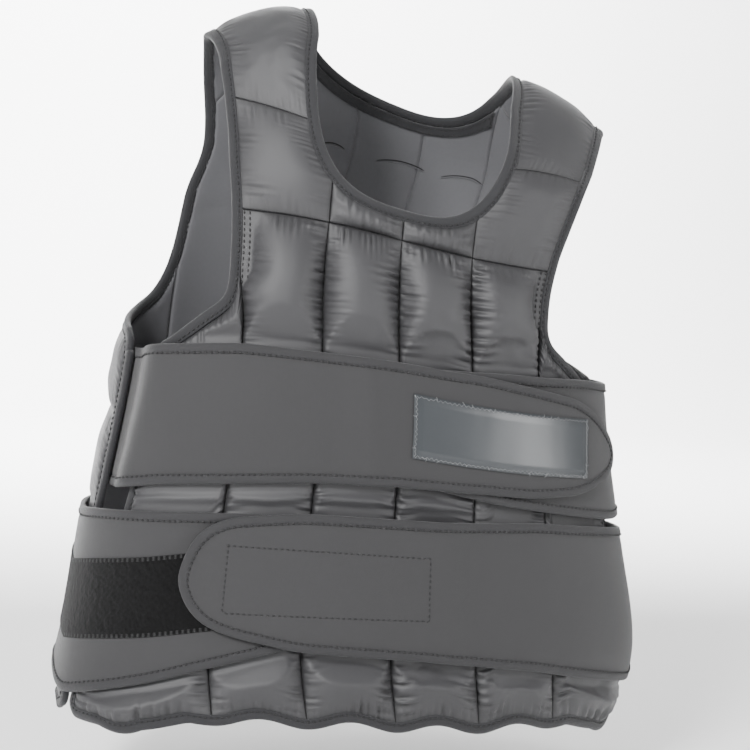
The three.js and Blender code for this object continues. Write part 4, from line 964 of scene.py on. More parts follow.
# The thin pieces move and fold less. Cloth near a belt is pressed over SOFT_TOUCH. Its colour is darkened
# within
# SEAM_SHADE of a seam, as seam dirt and painted shade, and in the valleys of its folds, as painted shade.
THIN_SWELL = 0.35
THIN_PINCH = 0.5
SOFT_TOUCH = 0.9
SEAM_SHADE = 2.2
FOLD_SHADE = 0.4
DARKEST_SHADE = 0.85


def add_shell(name, outer, inner, uv, material):
    """A closed piece between an outer and an inner grid of points that share their pattern places."""
    uv = uv.reshape(-1, 2)
    return add_mesh(
        name, np.concatenate([outer.reshape(-1, 3), inner.reshape(-1, 3)]),
        shell_faces(*outer.shape[:2]), [material], np.concatenate([uv, uv]),
    )


def add_tube(name, rings, closed, material, side=1):
    """A tube from (s, t, lift) rows, one list for each point of its section, and the points of it."""
    rings = np.stack(rings, 1)
    points = place(rings[..., 0], side * rings[..., 1], rings[..., 2])
    obj = add_mesh(
        name, points.reshape(-1, 3), tube_faces(*rings.shape[:2], closed), [material],
        pattern_uv(rings[..., 0], rings[..., 1]).reshape(-1, 2),
    )
    face_out(obj)
    return obj, points


def add_stuffed_pieces(sizes, material):
    pieces = stuffed_pieces()
    grids = []
    for piece in pieces:
        grid = stuffed_grid(piece, 1)
        floor = SHELL_BASE + SEAM_THICKNESS
        room = room_at(piece["side"], grid["s"], np.abs(grid["t"]))
        grid["lift"] = np.maximum(floor, np.minimum(floor + 0.9 * grid["full"], room))
        grids.append(grid)
    moves = swell(pieces, grids, sizes.pressure, sizes.cloth_slack)
    start = 0
    for number, (piece, grid) in enumerate(zip(pieces, grids)):
        count = grid["s"].size
        shape = grid["s"].shape + (3,)
        move = np.zeros(shape) if moves is None else moves[start : start + count].reshape(shape)
        start += count
        far = np.linalg.norm(move, axis=-1, keepdims=True)
        move = move * np.minimum(1, sizes.swell_cap * 1000 / np.maximum(far, 1e-9))
        move = even_out(move, 2) * (THIN_SWELL if "height" in piece else 1)
        up = place(grid["s"], grid["t"], grid["lift"] + 1) - place(grid["s"], grid["t"], grid["lift"])
        up /= np.linalg.norm(up, axis=-1, keepdims=True)
        raised = (move * up).sum(-1)
        sideways = move - raised[..., None] * up
        fine = stuffed_grid(piece, FINE)
        lift = curved_up(curved_up(grid["lift"] + raised, FINE, 0), FINE, 1)
        sideways = curved_up(curved_up(sideways, FINE, 0), FINE, 1) / 1000
        gathered = sizes.pinch_depth * 1000 * np.clip(fine["full"] / 4, 0, 1)
        gathered = gathered * (THIN_PINCH if "height" in piece else 1)
        folds = pinches(piece, fine, 1.0, number)
        lift = lift + gathered * folds
        floor = SHELL_BASE + 0.6 * SEAM_THICKNESS
        room = np.maximum(room_at(piece["side"], fine["s"], np.abs(fine["t"])), floor)
        spare = np.abs(room - lift) / SOFT_TOUCH
        lift = np.maximum(np.minimum(room, lift) - SOFT_TOUCH * np.log1p(np.exp(-spare)), floor)
        # Darkening for the colour: near the seams it is seam dirt and painted shade, in the fold valleys
        # painted shade.
        across = np.minimum(fine["u"], 1 - fine["u"])[None] * fine["width"]
        along = np.abs(fine["v"][:, None] - np.array(piece["seams"])[None]).min(1)[:, None] * fine["length"]
        dirt_and_painted_shade = 0.55 * np.exp(-((np.minimum(across, along) / SEAM_SHADE) ** 2))
        dirt_and_painted_shade = np.clip(dirt_and_painted_shade + FOLD_SHADE * np.clip(-folds, 0, 2), 0, DARKEST_SHADE)
        outer = place(fine["s"], fine["t"], lift) + sideways
        inner = place(fine["s"], fine["t"], SHELL_BASE)
        uv = pattern_uv(fine["s"], fine["t"])
        obj = add_shell(f"{piece['name']}_stuffed", outer, inner, uv, material)
        dirt_and_shade_attribute = obj.data.attributes.new("seam_shade", "FLOAT", "POINT")
        shades = np.concatenate([dirt_and_painted_shade.ravel(), np.zeros(dirt_and_painted_shade.size)])
        dirt_and_shade_attribute.data.foreach_set("value", shades.astype(np.float32))
        face_out(obj)
        declare(obj, piece["name"])


# Linings. Their flat widths and lengths are given here, not measured: the patterns span 0.467 by 0.444
# metres on the front and 0.532 by 0.662 on the back. The area is measured.
LINING_STEP = 3.5
LINING_BULGE = 1.1
LINING_RISE = 7


def add_linings(materials):
    pieces = stuffed_pieces()
    for side, name in ((FRONT, "front_lining"), (BACK, "back_lining")):
        parts, area = [], 0
        for piece in pieces:
            if piece["side"] != side:
                continue
            width, length = patch_size(piece["patch"])
            u = np.linspace(0, 1, max(4, round(width / LINING_STEP)) + 1)
            v = np.linspace(0, 1, max(4, round(length / LINING_STEP)) + 1)
            spots = piece["patch"](u, v)
            s, t = piece["sign"] * spots[..., 0], piece["side"] * spots[..., 1]
            from_seam = np.abs(v[:, None] - np.array(piece["seams"])[None]).min(1)[:, None] * length
            off = np.minimum(np.minimum(u, 1 - u)[None] * width, from_seam)
            low = -LINING_BULGE * np.clip(off / LINING_RISE, 0, 1) ** 0.6
            outer, inner = place(s, t, LINING), place(s, t, low)
            uv = pattern_uv(s, t).reshape(-1, 2)
            points = np.concatenate([outer.reshape(-1, 3), inner.reshape(-1, 3)])
            faces = shell_faces(*s.shape)
            if piece["sign"] * side < 0:
                faces = faces[:, ::-1]
            parts.append((points, faces, np.concatenate([uv, uv]), 0))
            steps = np.cross(
                np.stack([np.diff(s, axis=1)[:-1], np.diff(t, axis=1)[:-1]], -1),
                np.stack([np.diff(s, axis=0)[:, :-1], np.diff(t, axis=0)[:, :-1]], -1),
            )
            area += np.abs(steps).sum() / 1e6
        if side == BACK:
            parts += slit_parts()
        obj = joined_mesh(f"{name}_cloth", parts, materials)
        declare(obj, name)


SLITS = ((-86, -62), (-56, -33), (-7.5, 31.7), (45, 79))
SLIT_DEPTH = 118
SLIT_SAG = 3.5
SLIT_SLANT = 2
SLIT_RINGS = 26
SLIT_SIDES = 8
# The cut and its lip, as (offset down, radius, place of its material, lift).
SLIT_TUBES = ((0, 0.55, 1, -0.95), (1.1, 0.6, 0, -1.35))


def slit_parts():
    """Pocket slits inside the back: a dark cut with a rolled lip under it."""
    parts = []
    for start, end in SLITS:
        s = np.linspace(start, end, SLIT_RINGS)
        share = np.linspace(0, 1, SLIT_RINGS)
        t = SLIT_DEPTH + SLIT_SAG * (2 * share - 1) ** 2 - SLIT_SLANT * share
        for offset, radius, kind, low in SLIT_TUBES:
            angle = np.linspace(0, 2 * np.pi, SLIT_SIDES + 1)[:-1]
            thin = radius * np.sqrt(np.clip(1 - (2 * share - 1) ** 6, 0.02, 1))
            ring_t = t[:, None] + offset + thin[:, None] * np.cos(angle)
            lift = low + thin[:, None] * np.sin(angle)
            ring_s = np.broadcast_to(s[:, None], ring_t.shape)
            points = place(ring_s, ring_t, lift).reshape(-1, 3)
            uv = pattern_uv(ring_s, ring_t).reshape(-1, 2)
            parts.append((points, tube_faces(SLIT_RINGS, SLIT_SIDES), uv, kind))
    return parts


def tube_faces(rings, around, closed=False):
    index = np.arange(rings * around).reshape(rings, around)
    after = np.roll(index, -1, 1)
    below = np.roll(index, -1, 0)
    below_after = np.roll(after, -1, 0)
    stop = rings if closed else rings - 1
    faces = np.stack([index, after, below_after, below], -1)[:stop].reshape(-1, 4).tolist()
    if not closed:
        faces += [index[0, ::-1].tolist(), index[-1].tolist()]
    return faces


# Bindings: a folded tape along each edge, as (share of the width, share of the height) of its section.
TAPE_SECTION = (
    (0.0, 0.5), (0.02, 0.68), (0.08, 0.83), (0.2, 0.94), (0.42, 1.0), (0.62, 1.0), (0.72, 0.955),
    (0.8, 0.97), (0.9, 0.99), (0.97, 0.95), (1.0, 0.86), (1.0, 0.1), (0.97, 0.02), (0.8, 0.03),
    (0.72, 0.045), (0.62, 0.0), (0.42, 0.0), (0.2, 0.05), (0.08, 0.17), (0.02, 0.32),
)
STITCH_AT = 0.74
# How much thicker than the plain stitches those of the bindings and the belts are.
BINDING_THREAD = 1.3
BELT_THREAD = 1.9


def neck_path(side, grow, steps=60):
    """Half of the neck edge, from the fold to the centre line, as (out, down)."""
    full, straight, power = NECK_SHAPE[side]
    rows = []
    if side == FRONT:
        down = np.linspace(0, straight, 20)[:-1]
        rows.append(as_rows(neck_half(side, down, grow), down))
    angle = np.linspace(0, np.pi / 2, steps)
    out = (neck_widest(side, full) + grow) * np.abs(np.cos(angle)) ** (2 / power)
    down = straight + (full - straight + grow) * np.maximum(0, np.sin(angle)) ** (2 / power)
    rows.append(as_rows(out, down))
    return np.concatenate(rows)


def neck_loop(grow):
    """The whole neck edge as (s, t) rows, once round."""
    front, back = neck_path(FRONT, grow), neck_path(BACK, grow)
    left = np.vstack([back[::-1] * [-1, 1], front[1:] * [-1, -1]])
    right = np.vstack([front[::-1][1:] * [1, -1], back[1:-1] * [1, 1]])
    return np.vstack([left, right])


def armhole_path(sign, inset):
    front = inset_outline(FRONT, inset)[: OUTLINES[FRONT]["side_start"] + 1]
    back = inset_outline(BACK, inset)[: OUTLINES[BACK]["side_start"] + 1]
    return np.vstack([front[::-1] * [sign, -1], back[1:] * [sign, 1]])


def hem_path(side, inset):
    rows = inset_outline(side, inset)[OUTLINES[side]["side_start"]:]
    return np.vstack([rows * [-1, side], rows[::-1][1:] * [1, side]])


def tape_mesh(name, path_at, closed, material, ripple_seed):
    """A binding from a function that gives its edge's path for a distance into the cloth."""
    base = path_at(0)
    rng = np.random.default_rng(ripple_seed)
    run = np.concatenate([[0], np.cumsum(np.linalg.norm(np.diff(base, axis=0), axis=1))])
    ripple = 0.16 * np.sin(run / 5.1 + rng.uniform(0, 6)) + 0.14 * np.sin(run / 2.3 + rng.uniform(0, 6))
    rings = []
    for across, up in TAPE_SECTION:
        rows = path_at(across * BINDING_WIDTH)
        lift = mix(-LAYER_GAP, TAPE_TOP, up) + ripple * (up - 0.5) * (0.4 + across)
        rings.append(np.stack([rows[:, 0], rows[:, 1], lift], -1))
    return add_tube(name, rings, closed, material)[0]


def path_length(path):
    points = place(path[:, 0], path[:, 1], 0)
    return float(np.linalg.norm(np.diff(points, axis=0), axis=1).sum())


def add_bindings(sizes, material, thread):
    jobs = [
        ("neck_binding", neck_loop, True),
        ("armhole_binding_left", lambda inset: armhole_path(-1, inset), False),
        ("armhole_binding_right", lambda inset: armhole_path(1, inset), False),
        ("front_hem_binding", lambda inset: hem_path(FRONT, inset), False),
        ("back_hem_binding", lambda inset: hem_path(BACK, inset), False),
    ]
    seams = []
    for seed, (name, path_at, closed) in enumerate(jobs):
        obj = tape_mesh(f"{name}_tape", path_at, closed, material, seed)
        declare(obj, name)
        length = path_length(path_at(0))
        rows = path_at(STITCH_AT * BINDING_WIDTH)
        seams.append(place(rows[:, 0], rows[:, 1], TAPE_TOP + 0.25))
        if "armhole" in name:
            seams.append(place(rows[:, 0], rows[:, 1], -LAYER_GAP - 0.2))
    rows = neck_loop(STITCH_AT * BINDING_WIDTH)
    seams.append(place(rows[:, 0], rows[:, 1], -LAYER_GAP - 0.2))
    declare(stitch_lines("binding_stitches", seams, sizes, thread, BINDING_THREAD))


def stitch_tree():
    """Geometry nodes that lay short capsules of thread along a path."""
    tree = bpy.data.node_groups.new("Stitches along a path", "GeometryNodeTree")
    tree.interface.new_socket("Geometry", in_out="INPUT", socket_type="NodeSocketGeometry")
    for name, value in (("Pitch", 0.003), ("Stitch Length", 0.0022), ("Thread Radius", 0.0003)):
        socket = tree.interface.new_socket(name, in_out="INPUT", socket_type="NodeSocketFloat")
        socket.default_value = value
    tree.interface.new_socket("Material", in_out="INPUT", socket_type="NodeSocketMaterial")
    tree.interface.new_socket("Geometry", in_out="OUTPUT", socket_type="NodeSocketGeometry")
    nodes, link = tree.nodes, tree.links.new
    start, end = nodes.new("NodeGroupInput"), nodes.new("NodeGroupOutput")
    to_curve = nodes.new("GeometryNodeMeshToCurve")
    even = nodes.new("GeometryNodeResampleCurve")
    even.mode = "LENGTH"
    capsule = nodes.new("GeometryNodeMeshIcoSphere")
    capsule.inputs["Subdivisions"].default_value = 1
    stretched = nodes.new("GeometryNodeTransform")
    size = nodes.new("ShaderNodeCombineXYZ")
    halved = nodes.new("ShaderNodeMath")
    halved.operation = "MULTIPLY"
    halved.inputs[1].default_value = 0.5
    capsule.inputs["Radius"].default_value = 1.0
    link(start.outputs["Stitch Length"], halved.inputs[0])
    link(halved.outputs[0], size.inputs["X"])
    link(start.outputs["Thread Radius"], size.inputs["Y"])
    link(start.outputs["Thread Radius"], size.inputs["Z"])
    link(capsule.outputs["Mesh"], stretched.inputs["Geometry"])
    link(size.outputs["Vector"], stretched.inputs["Scale"])
    tangent = nodes.new("GeometryNodeInputTangent")
    turned = nodes.new("FunctionNodeAlignRotationToVector")
    turned.axis = "X"
    link(tangent.outputs["Tangent"], turned.inputs["Vector"])
    instances = nodes.new("GeometryNodeInstanceOnPoints")
    real = nodes.new("GeometryNodeRealizeInstances")
    finish = nodes.new("GeometryNodeSetMaterial")
    link(start.outputs["Geometry"], to_curve.inputs["Mesh"])
    link(to_curve.outputs["Curve"], even.inputs["Curve"])
    link(start.outputs["Pitch"], even.inputs["Length"])
    link(even.outputs["Curve"], instances.inputs["Points"])
    link(stretched.outputs["Geometry"], instances.inputs["Instance"])
    link(turned.outputs["Rotation"], instances.inputs["Rotation"])
    link(instances.outputs["Instances"], real.inputs["Geometry"])
    link(real.outputs["Geometry"], finish.inputs["Geometry"])
    link(start.outputs["Material"], finish.inputs["Material"])
    link(finish.outputs["Geometry"], end.inputs["Geometry"])
    return tree


def through_nodes(obj, tree, values):
    """Runs a node tree on an object once and keeps the result as its plain mesh."""
    modifier = obj.modifiers.new("Nodes", "NODES")
    modifier.node_group = tree
    for item in tree.interface.items_tree:
        if item.item_type == "SOCKET" and item.in_out == "INPUT" and item.name in values:
            modifier[item.identifier] = values[item.name]
    graph = bpy.context.evaluated_depsgraph_get()
    mesh = bpy.data.meshes.new_from_object(obj.evaluated_get(graph))
    obj.modifiers.clear()
    obj.data = mesh
    mesh.shade_smooth()
    return obj


def path_object(name, paths):
    """An object of edges only, along open paths."""
    edges, start = [], 0
    for path in paths:
        edges += [(start + i, start + i + 1) for i in range(len(path) - 1)]
        start += len(path)
    mesh = bpy.data.meshes.new(name)
    mesh.from_pydata(np.concatenate(paths).tolist(), edges, [])
    obj = bpy.data.objects.new(name, mesh)
    bpy.context.scene.collection.objects.link(obj)
    return obj


def stitch_lines(name, paths, sizes, material, heavier=1.0):
    obj = path_object(name, paths)
    tree = bpy.data.node_groups.get("Stitches along a path") or stitch_tree()
    values = {
        "Pitch": sizes.stitch_pitch, "Stitch Length": sizes.stitch_length,
        "Thread Radius": sizes.thread_radius * heavier, "Material": material,
    }
    return through_nodes(obj, tree, values)


# Belts.
BELT_COLUMNS = 25
BELT_STEP = 4
UNDER_TAPE = 3
EDGING_SECTION = (
    (0, 0.5), (0.03, 0.8), (0.12, 1), (0.5, 1.06), (0.9, 1.02), (1, 0.8), (1, 0.2), (0.5, 0.06),
    (0.03, 0.2),
)
# The edging tape's real cut is wider than the width it is built with here.
BOX_SEAM = ((-113, 411), (23, 410), (24, 455), (-115, 457))


def belt_shape(name):
    start, end = belt_ends(name)
    s = np.linspace(start, end, round((end - start) / BELT_STEP) + 1)
    reach = np.array(BELTS[name]["outline"])[:, 0] * BELTS[name]["reach"]
    tip = reach[(np.abs(reach - reach[0]) < 20) | (np.abs(reach - reach[-1]) < 20)]
    s = np.unique(np.round(np.concatenate([s, tip]), 3))
    return s


def belt_outline(name, inset):
    """A belt's edge as (s, depth) rows, once round, moved in by a distance."""
    s = belt_shape(name)
    top, bottom = belt_row(name, s)
    loop = np.vstack([np.stack([s, top], 1), np.stack([s, bottom], 1)[::-1]])
    keep = np.concatenate([[True], np.linalg.norm(np.diff(loop, axis=0), axis=1) > 0.5])
    loop = loop[keep]
    if np.linalg.norm(loop[0] - loop[-1]) < 0.5:
        loop = loop[:-1]
    loop = resampled(np.vstack([loop, loop[:1]]), round(len(loop) * 1.2))[:-1]
    for _ in range(6):
        loop = (np.roll(loop, 1, 0) + 2 * loop + np.roll(loop, -1, 0)) / 4
    closed = np.vstack([loop[-1:], loop, loop[:1]])
    run = closed[2:] - closed[:-2]
    run /= np.linalg.norm(run, axis=1, keepdims=True)
    return loop + inset * np.stack([-run[:, 1], run[:, 0]], 1)


def fabric_ripple(s, t, seed):
    rng = np.random.default_rng(seed)
    total = np.zeros(np.shape(s))
    for wave in (130, 75, 44, 27):
        angle, phase = rng.uniform(-0.5, 0.5), rng.uniform(0, 6)
        along = s * np.cos(angle) + t * np.sin(angle)
        total += wave / 150 * 0.5 * np.sin(along * 2 * np.pi / wave + phase)
    return total


def belt_wave(name, s, depth):
    """The low waves in a belt's outer face, in millimetres."""
    return 0.5 * np.clip(fabric_ripple(s, depth, list(BELTS).index(name)), 0, 1)


def add_belts(sizes, cloth, tape, thread):
    seams = []
    for name in BELTS:
        s = belt_shape(name)
        top, bottom = belt_row(name, s)
        inside = (bottom - top > 2 * BELT_TAPE) & (s > s[0] + UNDER_TAPE) & (s < s[-1] - UNDER_TAPE)
        s, top, bottom = s[inside], top[inside] + UNDER_TAPE, bottom[inside] - UNDER_TAPE
        share = np.linspace(0, 1, BELT_COLUMNS)
        depth = mix(top[:, None], bottom[:, None], share)
        around = np.broadcast_to(s[:, None], depth.shape)
        low = belt_lift(name, around, depth)
        wave = belt_wave(name, around, depth)
        edge = np.minimum(share, 1 - share)[None] * (bottom - top)[:, None]
        puff = 0.25 - 0.5 * np.exp(-((edge + UNDER_TAPE - BELT_TAPE) / 1.2) ** 2)
        outer = place(around, -depth, low + BELT_THICKNESS + wave + puff)
        inner = place(around, -depth, low)
        obj = add_shell(f"{name}_cloth", outer, inner, pattern_uv(around, depth), cloth)
        face_out(obj)
        declare(obj, name)

        rings = []
        for across, up in EDGING_SECTION:
            rows = belt_outline(name, across * BELT_TAPE - 0.5)
            lift = belt_lift(name, rows[:, 0], rows[:, 1])
            above = BELT_THICKNESS + belt_wave(name, rows[:, 0], rows[:, 1]) + 0.55
            rings.append(np.stack([rows[:, 0], rows[:, 1], lift + mix(-0.2, above, up)], -1))
        edging, points = add_tube(f"{name}_edging", rings, True, tape, FRONT)
        declare(edging)
        rows = belt_outline(name, BELT_TAPE - 1.3)
        above = belt_lift(name, rows[:, 0], rows[:, 1]) + BELT_THICKNESS + 0.6
        above += belt_wave(name, rows[:, 0], rows[:, 1])
        line = place(rows[:, 0], -rows[:, 1], above)
        seams.append(np.vstack([line, line[:1]]))
    declare(stitch_lines("belt_stitches", seams, sizes, thread, BELT_THREAD))
    path = resampled(np.array(BOX_SEAM + BOX_SEAM[:1], float), 260)
    above = belt_lift("lower_belt_right", path[:, 0], path[:, 1]) + BELT_THICKNESS + 0.3
    above += belt_wave("lower_belt_right", path[:, 0], path[:, 1])
    points = place(path[:, 0], -path[:, 1], above)
    box_stitches = stitch_lines("belt_box_stitches", [points], sizes, thread, BINDING_THREAD)
    declare(box_stitches)


# The label's zigzag runs this far inside its edge. The thread's radius is in metres.
LABEL_BORDER = 1.75
ZIGZAG_STEP = 1.7
LABEL_THREAD = 0.00017


def add_label(cloth, silver):
    columns, rows = 57, 19
    u, v = np.linspace(0, 1, columns), np.linspace(-0.5, 0.5, rows)
    s = np.broadcast_to(LABEL_START + LABEL_LENGTH * u, (rows, columns))
    middle = BELTS["upper_belt_left"]["level"] + LABEL_SLANT * u
    depth = middle[None] + LABEL_WIDTH * v[:, None]
    low = belt_lift("upper_belt_left", s, depth) + BELT_THICKNESS
    low = low + belt_wave("upper_belt_left", s, depth)
    edge = np.minimum(np.minimum(u, 1 - u)[None] * LABEL_LENGTH, (0.5 - np.abs(v))[:, None] * LABEL_WIDTH)
    sewn = 1.3 + 0.35 * smooth(edge / 5) - 0.5 * np.exp(-((edge - 2.4) / 0.8) ** 2)
    outer, inner = place(s, -depth, low + sewn), place(s, -depth, low + 0.1)
    obj = add_shell("label_plate", outer, inner, pattern_uv(s, depth), cloth)
    face_out(obj)
    declare(obj, "label_patch")
    rng = np.random.default_rng(11)
    across, along = LABEL_WIDTH - 2 * LABEL_BORDER, LABEL_LENGTH - 2 * LABEL_BORDER
    paths = []

    def on_label(x, y, lift):
        at = LABEL_START + LABEL_LENGTH / 2 + x
        down = BELTS["upper_belt_left"]["level"] + LABEL_SLANT * (at - LABEL_START) / LABEL_LENGTH + y
        high = belt_lift("upper_belt_left", at, down) + BELT_THICKNESS + 1.35 + lift
        high = high + belt_wave("upper_belt_left", at, down)
        return place(at, -down, high)

    corners = np.array([(-1, -1), (1, -1), (1, 1), (-1, 1), (-1, -1)]) * [along / 2, across / 2]
    for first, last in zip(corners[:-1], corners[1:]):
        span = last - first
        length = np.linalg.norm(span)
        count = round(length / ZIGZAG_STEP)
        run = np.linspace(0, 1, count + 1)[:, None]
        turn = np.array([span[1], -span[0]]) / length
        turns = np.where(np.arange(count + 1) % 2 == 0, 1.0, -1.0)[:, None]
        zig = turns * rng.uniform(0.4, 1.1, (count + 1, 1))
        rows = first + span * run + turn * zig
        paths.append(on_label(rows[:, 0], rows[:, 1], rng.uniform(0, 0.25, count + 1)))
        for _ in range(count // 8):
            at = first + span * rng.uniform()
            bend = turn * rng.uniform(0.5, 2.8) + span / length * rng.uniform(-2.5, 2.5)
            share = np.linspace(0, 1, 5)[:, None]
            rows = at + bend * share + turn * np.sin(share * np.pi) * rng.uniform(-0.6, 0.6)
            paths.append(on_label(rows[:, 0], rows[:, 1], 0.1 + 0.5 * np.sin(share[:, 0] * np.pi)))
    declare(thread_lines("label_stitches", paths, LABEL_THREAD, silver))


def thread_lines(name, paths, radius, material):
    """Thin threads along open paths, swept by geometry nodes."""
    tree = bpy.data.node_groups.new("Thread along a path", "GeometryNodeTree")
    tree.interface.new_socket("Geometry", in_out="INPUT", socket_type="NodeSocketGeometry")
    tree.interface.new_socket("Thread Radius", in_out="INPUT", socket_type="NodeSocketFloat")
    tree.interface.new_socket("Material", in_out="INPUT", socket_type="NodeSocketMaterial")
    tree.interface.new_socket("Geometry", in_out="OUTPUT", socket_type="NodeSocketGeometry")
    nodes, link = tree.nodes, tree.links.new
    start, end = nodes.new("NodeGroupInput"), nodes.new("NodeGroupOutput")
    to_curve = nodes.new("GeometryNodeMeshToCurve")
    circle = nodes.new("GeometryNodeCurvePrimitiveCircle")
    circle.inputs["Resolution"].default_value = 5
    swept = nodes.new("GeometryNodeCurveToMesh")
    swept.inputs["Fill Caps"].default_value = True
    real = nodes.new("GeometryNodeRealizeInstances")
    finish = nodes.new("GeometryNodeSetMaterial")
    link(start.outputs["Geometry"], to_curve.inputs["Mesh"])
    link(start.outputs["Thread Radius"], circle.inputs["Radius"])
    link(to_curve.outputs["Curve"], swept.inputs["Curve"])
    link(circle.outputs["Curve"], swept.inputs["Profile Curve"])
    link(swept.outputs["Mesh"], real.inputs["Geometry"])
    link(real.outputs["Geometry"], finish.inputs["Geometry"])
    link(start.outputs["Material"], finish.inputs["Material"])
    link(finish.outputs["Geometry"], end.inputs["Geometry"])
    return through_nodes(path_object(name, paths), tree, {"Thread Radius": radius, "Material": material})


def add_loop_panel(sizes, cloth, edge_thread):
    s = np.linspace(LOOP_START, LOOP_END, 200)
    top, bottom = belt_row("lower_belt_left", s)
    v = np.linspace(-0.5, 0.5, 47)
    depth = ((top + bottom) / 2)[:, None] + LOOP_WIDTH * v
    around = np.broadcast_to(s[:, None], depth.shape)
    rng = np.random.default_rng(5)
    edge = (0.5 - np.abs(v))[None] * LOOP_WIDTH
    fuzz = np.where(edge > 2.2, rng.uniform(0.0, 0.45, depth.shape), 0.25)
    low = belt_lift("lower_belt_left", around, depth) + BELT_THICKNESS + 0.25
    low = low + belt_wave("lower_belt_left", around, depth)
    outer, inner = place(around, -depth, low + 0.55 + fuzz), place(around, -depth, low)
    obj = add_shell("loop_panel_pile", outer, inner, pattern_uv(around, depth), cloth)
    face_out(obj)
    declare(obj, "loop_panel")
    seams = []
    for share in (-0.5, 0.5):
        for inwards in (0.6, 1.5, 2.4):
            edge = (top + bottom) / 2 + share * LOOP_WIDTH - 2 * share * inwards
            above = belt_lift("lower_belt_left", s, edge) + BELT_THICKNESS + 0.95
            above += belt_wave("lower_belt_left", s, edge)
            seams.append(place(s, -edge, above))
    declare(stitch_lines("loop_panel_stitches", seams, sizes, edge_thread))


# The band: 8 mm of it shows, and the rest of its flat width is a guessed turn-in.
BAND_SECTION = ((0, 0.2), (0.1, 0), (0.3, 0.12), (0.7, 0.12), (0.9, 0), (1, 0.2), (1, 1), (0, 1))


def add_band(sizes, material, thread):
    s = np.linspace(1 - NECK_AT_FOLD, NECK_AT_FOLD - 1, 90)
    rings = []
    for across, down in BAND_SECTION:
        t = neck_depth(BACK, s, CLOTH_INSET + across * BAND_WIDTH)
        lift = mix(-BAND_GAP - BAND_THICKNESS, -BAND_GAP - 0.2, down)
        rings.append(np.stack([s, t, np.full(s.shape, lift)], -1))
    obj = add_tube("back_lining_band_tape", rings, False, material)[0]
    declare(obj, "back_lining_band")
    length = path_length(rings[0][:, :2])
    seams = []
    for across in (0.22, 0.78):
        t = neck_depth(BACK, s, CLOTH_INSET + across * BAND_WIDTH)
        seams.append(place(s, t, -BAND_GAP - BAND_THICKNESS - 0.05))
    declare(stitch_lines("band_stitches", seams, sizes, thread))


def add_strip_stitches(sizes, thread):
    """The double stitching of the flat strips beside the front armholes."""
    seams = []
    down = np.linspace(YOKE_SEAM + 2, YOKE_SEAM + 0.32 * FRONT_ROW + 12, 60)
    for sign in (-1, 1):
        for inset in (CLOTH_INSET + 2.4, CLOTH_INSET + 6.2):
            path = inset_outline(FRONT, inset)[: OUTLINES[FRONT]["side_start"]]
            out = np.interp(down, np.maximum.accumulate(path[:, 1]), path[:, 0])
            seams.append(place(sign * out, -down, SHELL_BASE + SEAM_THICKNESS + 0.5))
    declare(stitch_lines("strip_stitches", seams, sizes, thread, BINDING_THREAD))


# Materials.
def weave_group():
    """Threads of a woven cloth along and across, as a height, with slow changes of shade over the cloth."""
    group = bpy.data.node_groups.new("Woven cloth", "ShaderNodeTree")
    for name, kind, value in (
        ("Pattern", "NodeSocketVector", None), ("Threads", "NodeSocketFloat", 900.0),
        ("Slubs", "NodeSocketFloat", 0.5), ("Patches", "NodeSocketFloat", 6.0),
    ):
        socket = group.interface.new_socket(name, in_out="INPUT", socket_type=kind)
        if value is not None:
            socket.default_value = value
    group.interface.new_socket("Height", in_out="OUTPUT", socket_type="NodeSocketFloat")
    group.interface.new_socket("Shade", in_out="OUTPUT", socket_type="NodeSocketFloat")
    nodes, link = group.nodes, group.links.new
    start, end = nodes.new("NodeGroupInput"), nodes.new("NodeGroupOutput")
    waves = []
    for direction in ("X", "Y"):
        wave = nodes.new("ShaderNodeTexWave")
        wave.bands_direction = direction
        wave.inputs["Distortion"].default_value = 0.6
        wave.inputs["Detail"].default_value = 2.0
        link(start.outputs["Pattern"], wave.inputs["Vector"])
        link(start.outputs["Threads"], wave.inputs["Scale"])
        waves.append(wave)
    crossed = nodes.new("ShaderNodeMath")
    crossed.operation = "MULTIPLY"
    link(waves[0].outputs["Fac"], crossed.inputs[0])
    link(waves[1].outputs["Fac"], crossed.inputs[1])
    slub = nodes.new("ShaderNodeTexNoise")
    slub.inputs["Scale"].default_value = 260.0
    slub.inputs["Detail"].default_value = 4.0
    link(start.outputs["Pattern"], slub.inputs["Vector"])
    scaled = nodes.new("ShaderNodeMath")
    scaled.operation = "MULTIPLY"
    link(slub.outputs["Fac"], scaled.inputs[0])
    link(start.outputs["Slubs"], scaled.inputs[1])
    summed = nodes.new("ShaderNodeMath")
    summed.operation = "ADD"
    link(crossed.outputs[0], summed.inputs[0])
    link(scaled.outputs[0], summed.inputs[1])
    link(summed.outputs[0], end.inputs["Height"])
    patch = nodes.new("ShaderNodeTexNoise")
    patch.inputs["Detail"].default_value = 5.0
    patch.inputs["Roughness"].default_value = 0.6
    link(start.outputs["Pattern"], patch.inputs["Vector"])
    link(start.outputs["Patches"], patch.inputs["Scale"])
    fleck = nodes.new("ShaderNodeTexNoise")
    fleck.inputs["Scale"].default_value = 420.0
    fleck.inputs["Detail"].default_value = 2.0
    link(start.outputs["Pattern"], fleck.inputs["Vector"])
    both = nodes.new("ShaderNodeMix")
    both.inputs["Factor"].default_value = 0.45
    link(patch.outputs["Fac"], both.inputs["A"])
    link(fleck.outputs["Fac"], both.inputs["B"])
    link(both.outputs["Result"], end.inputs["Shade"])
    return group


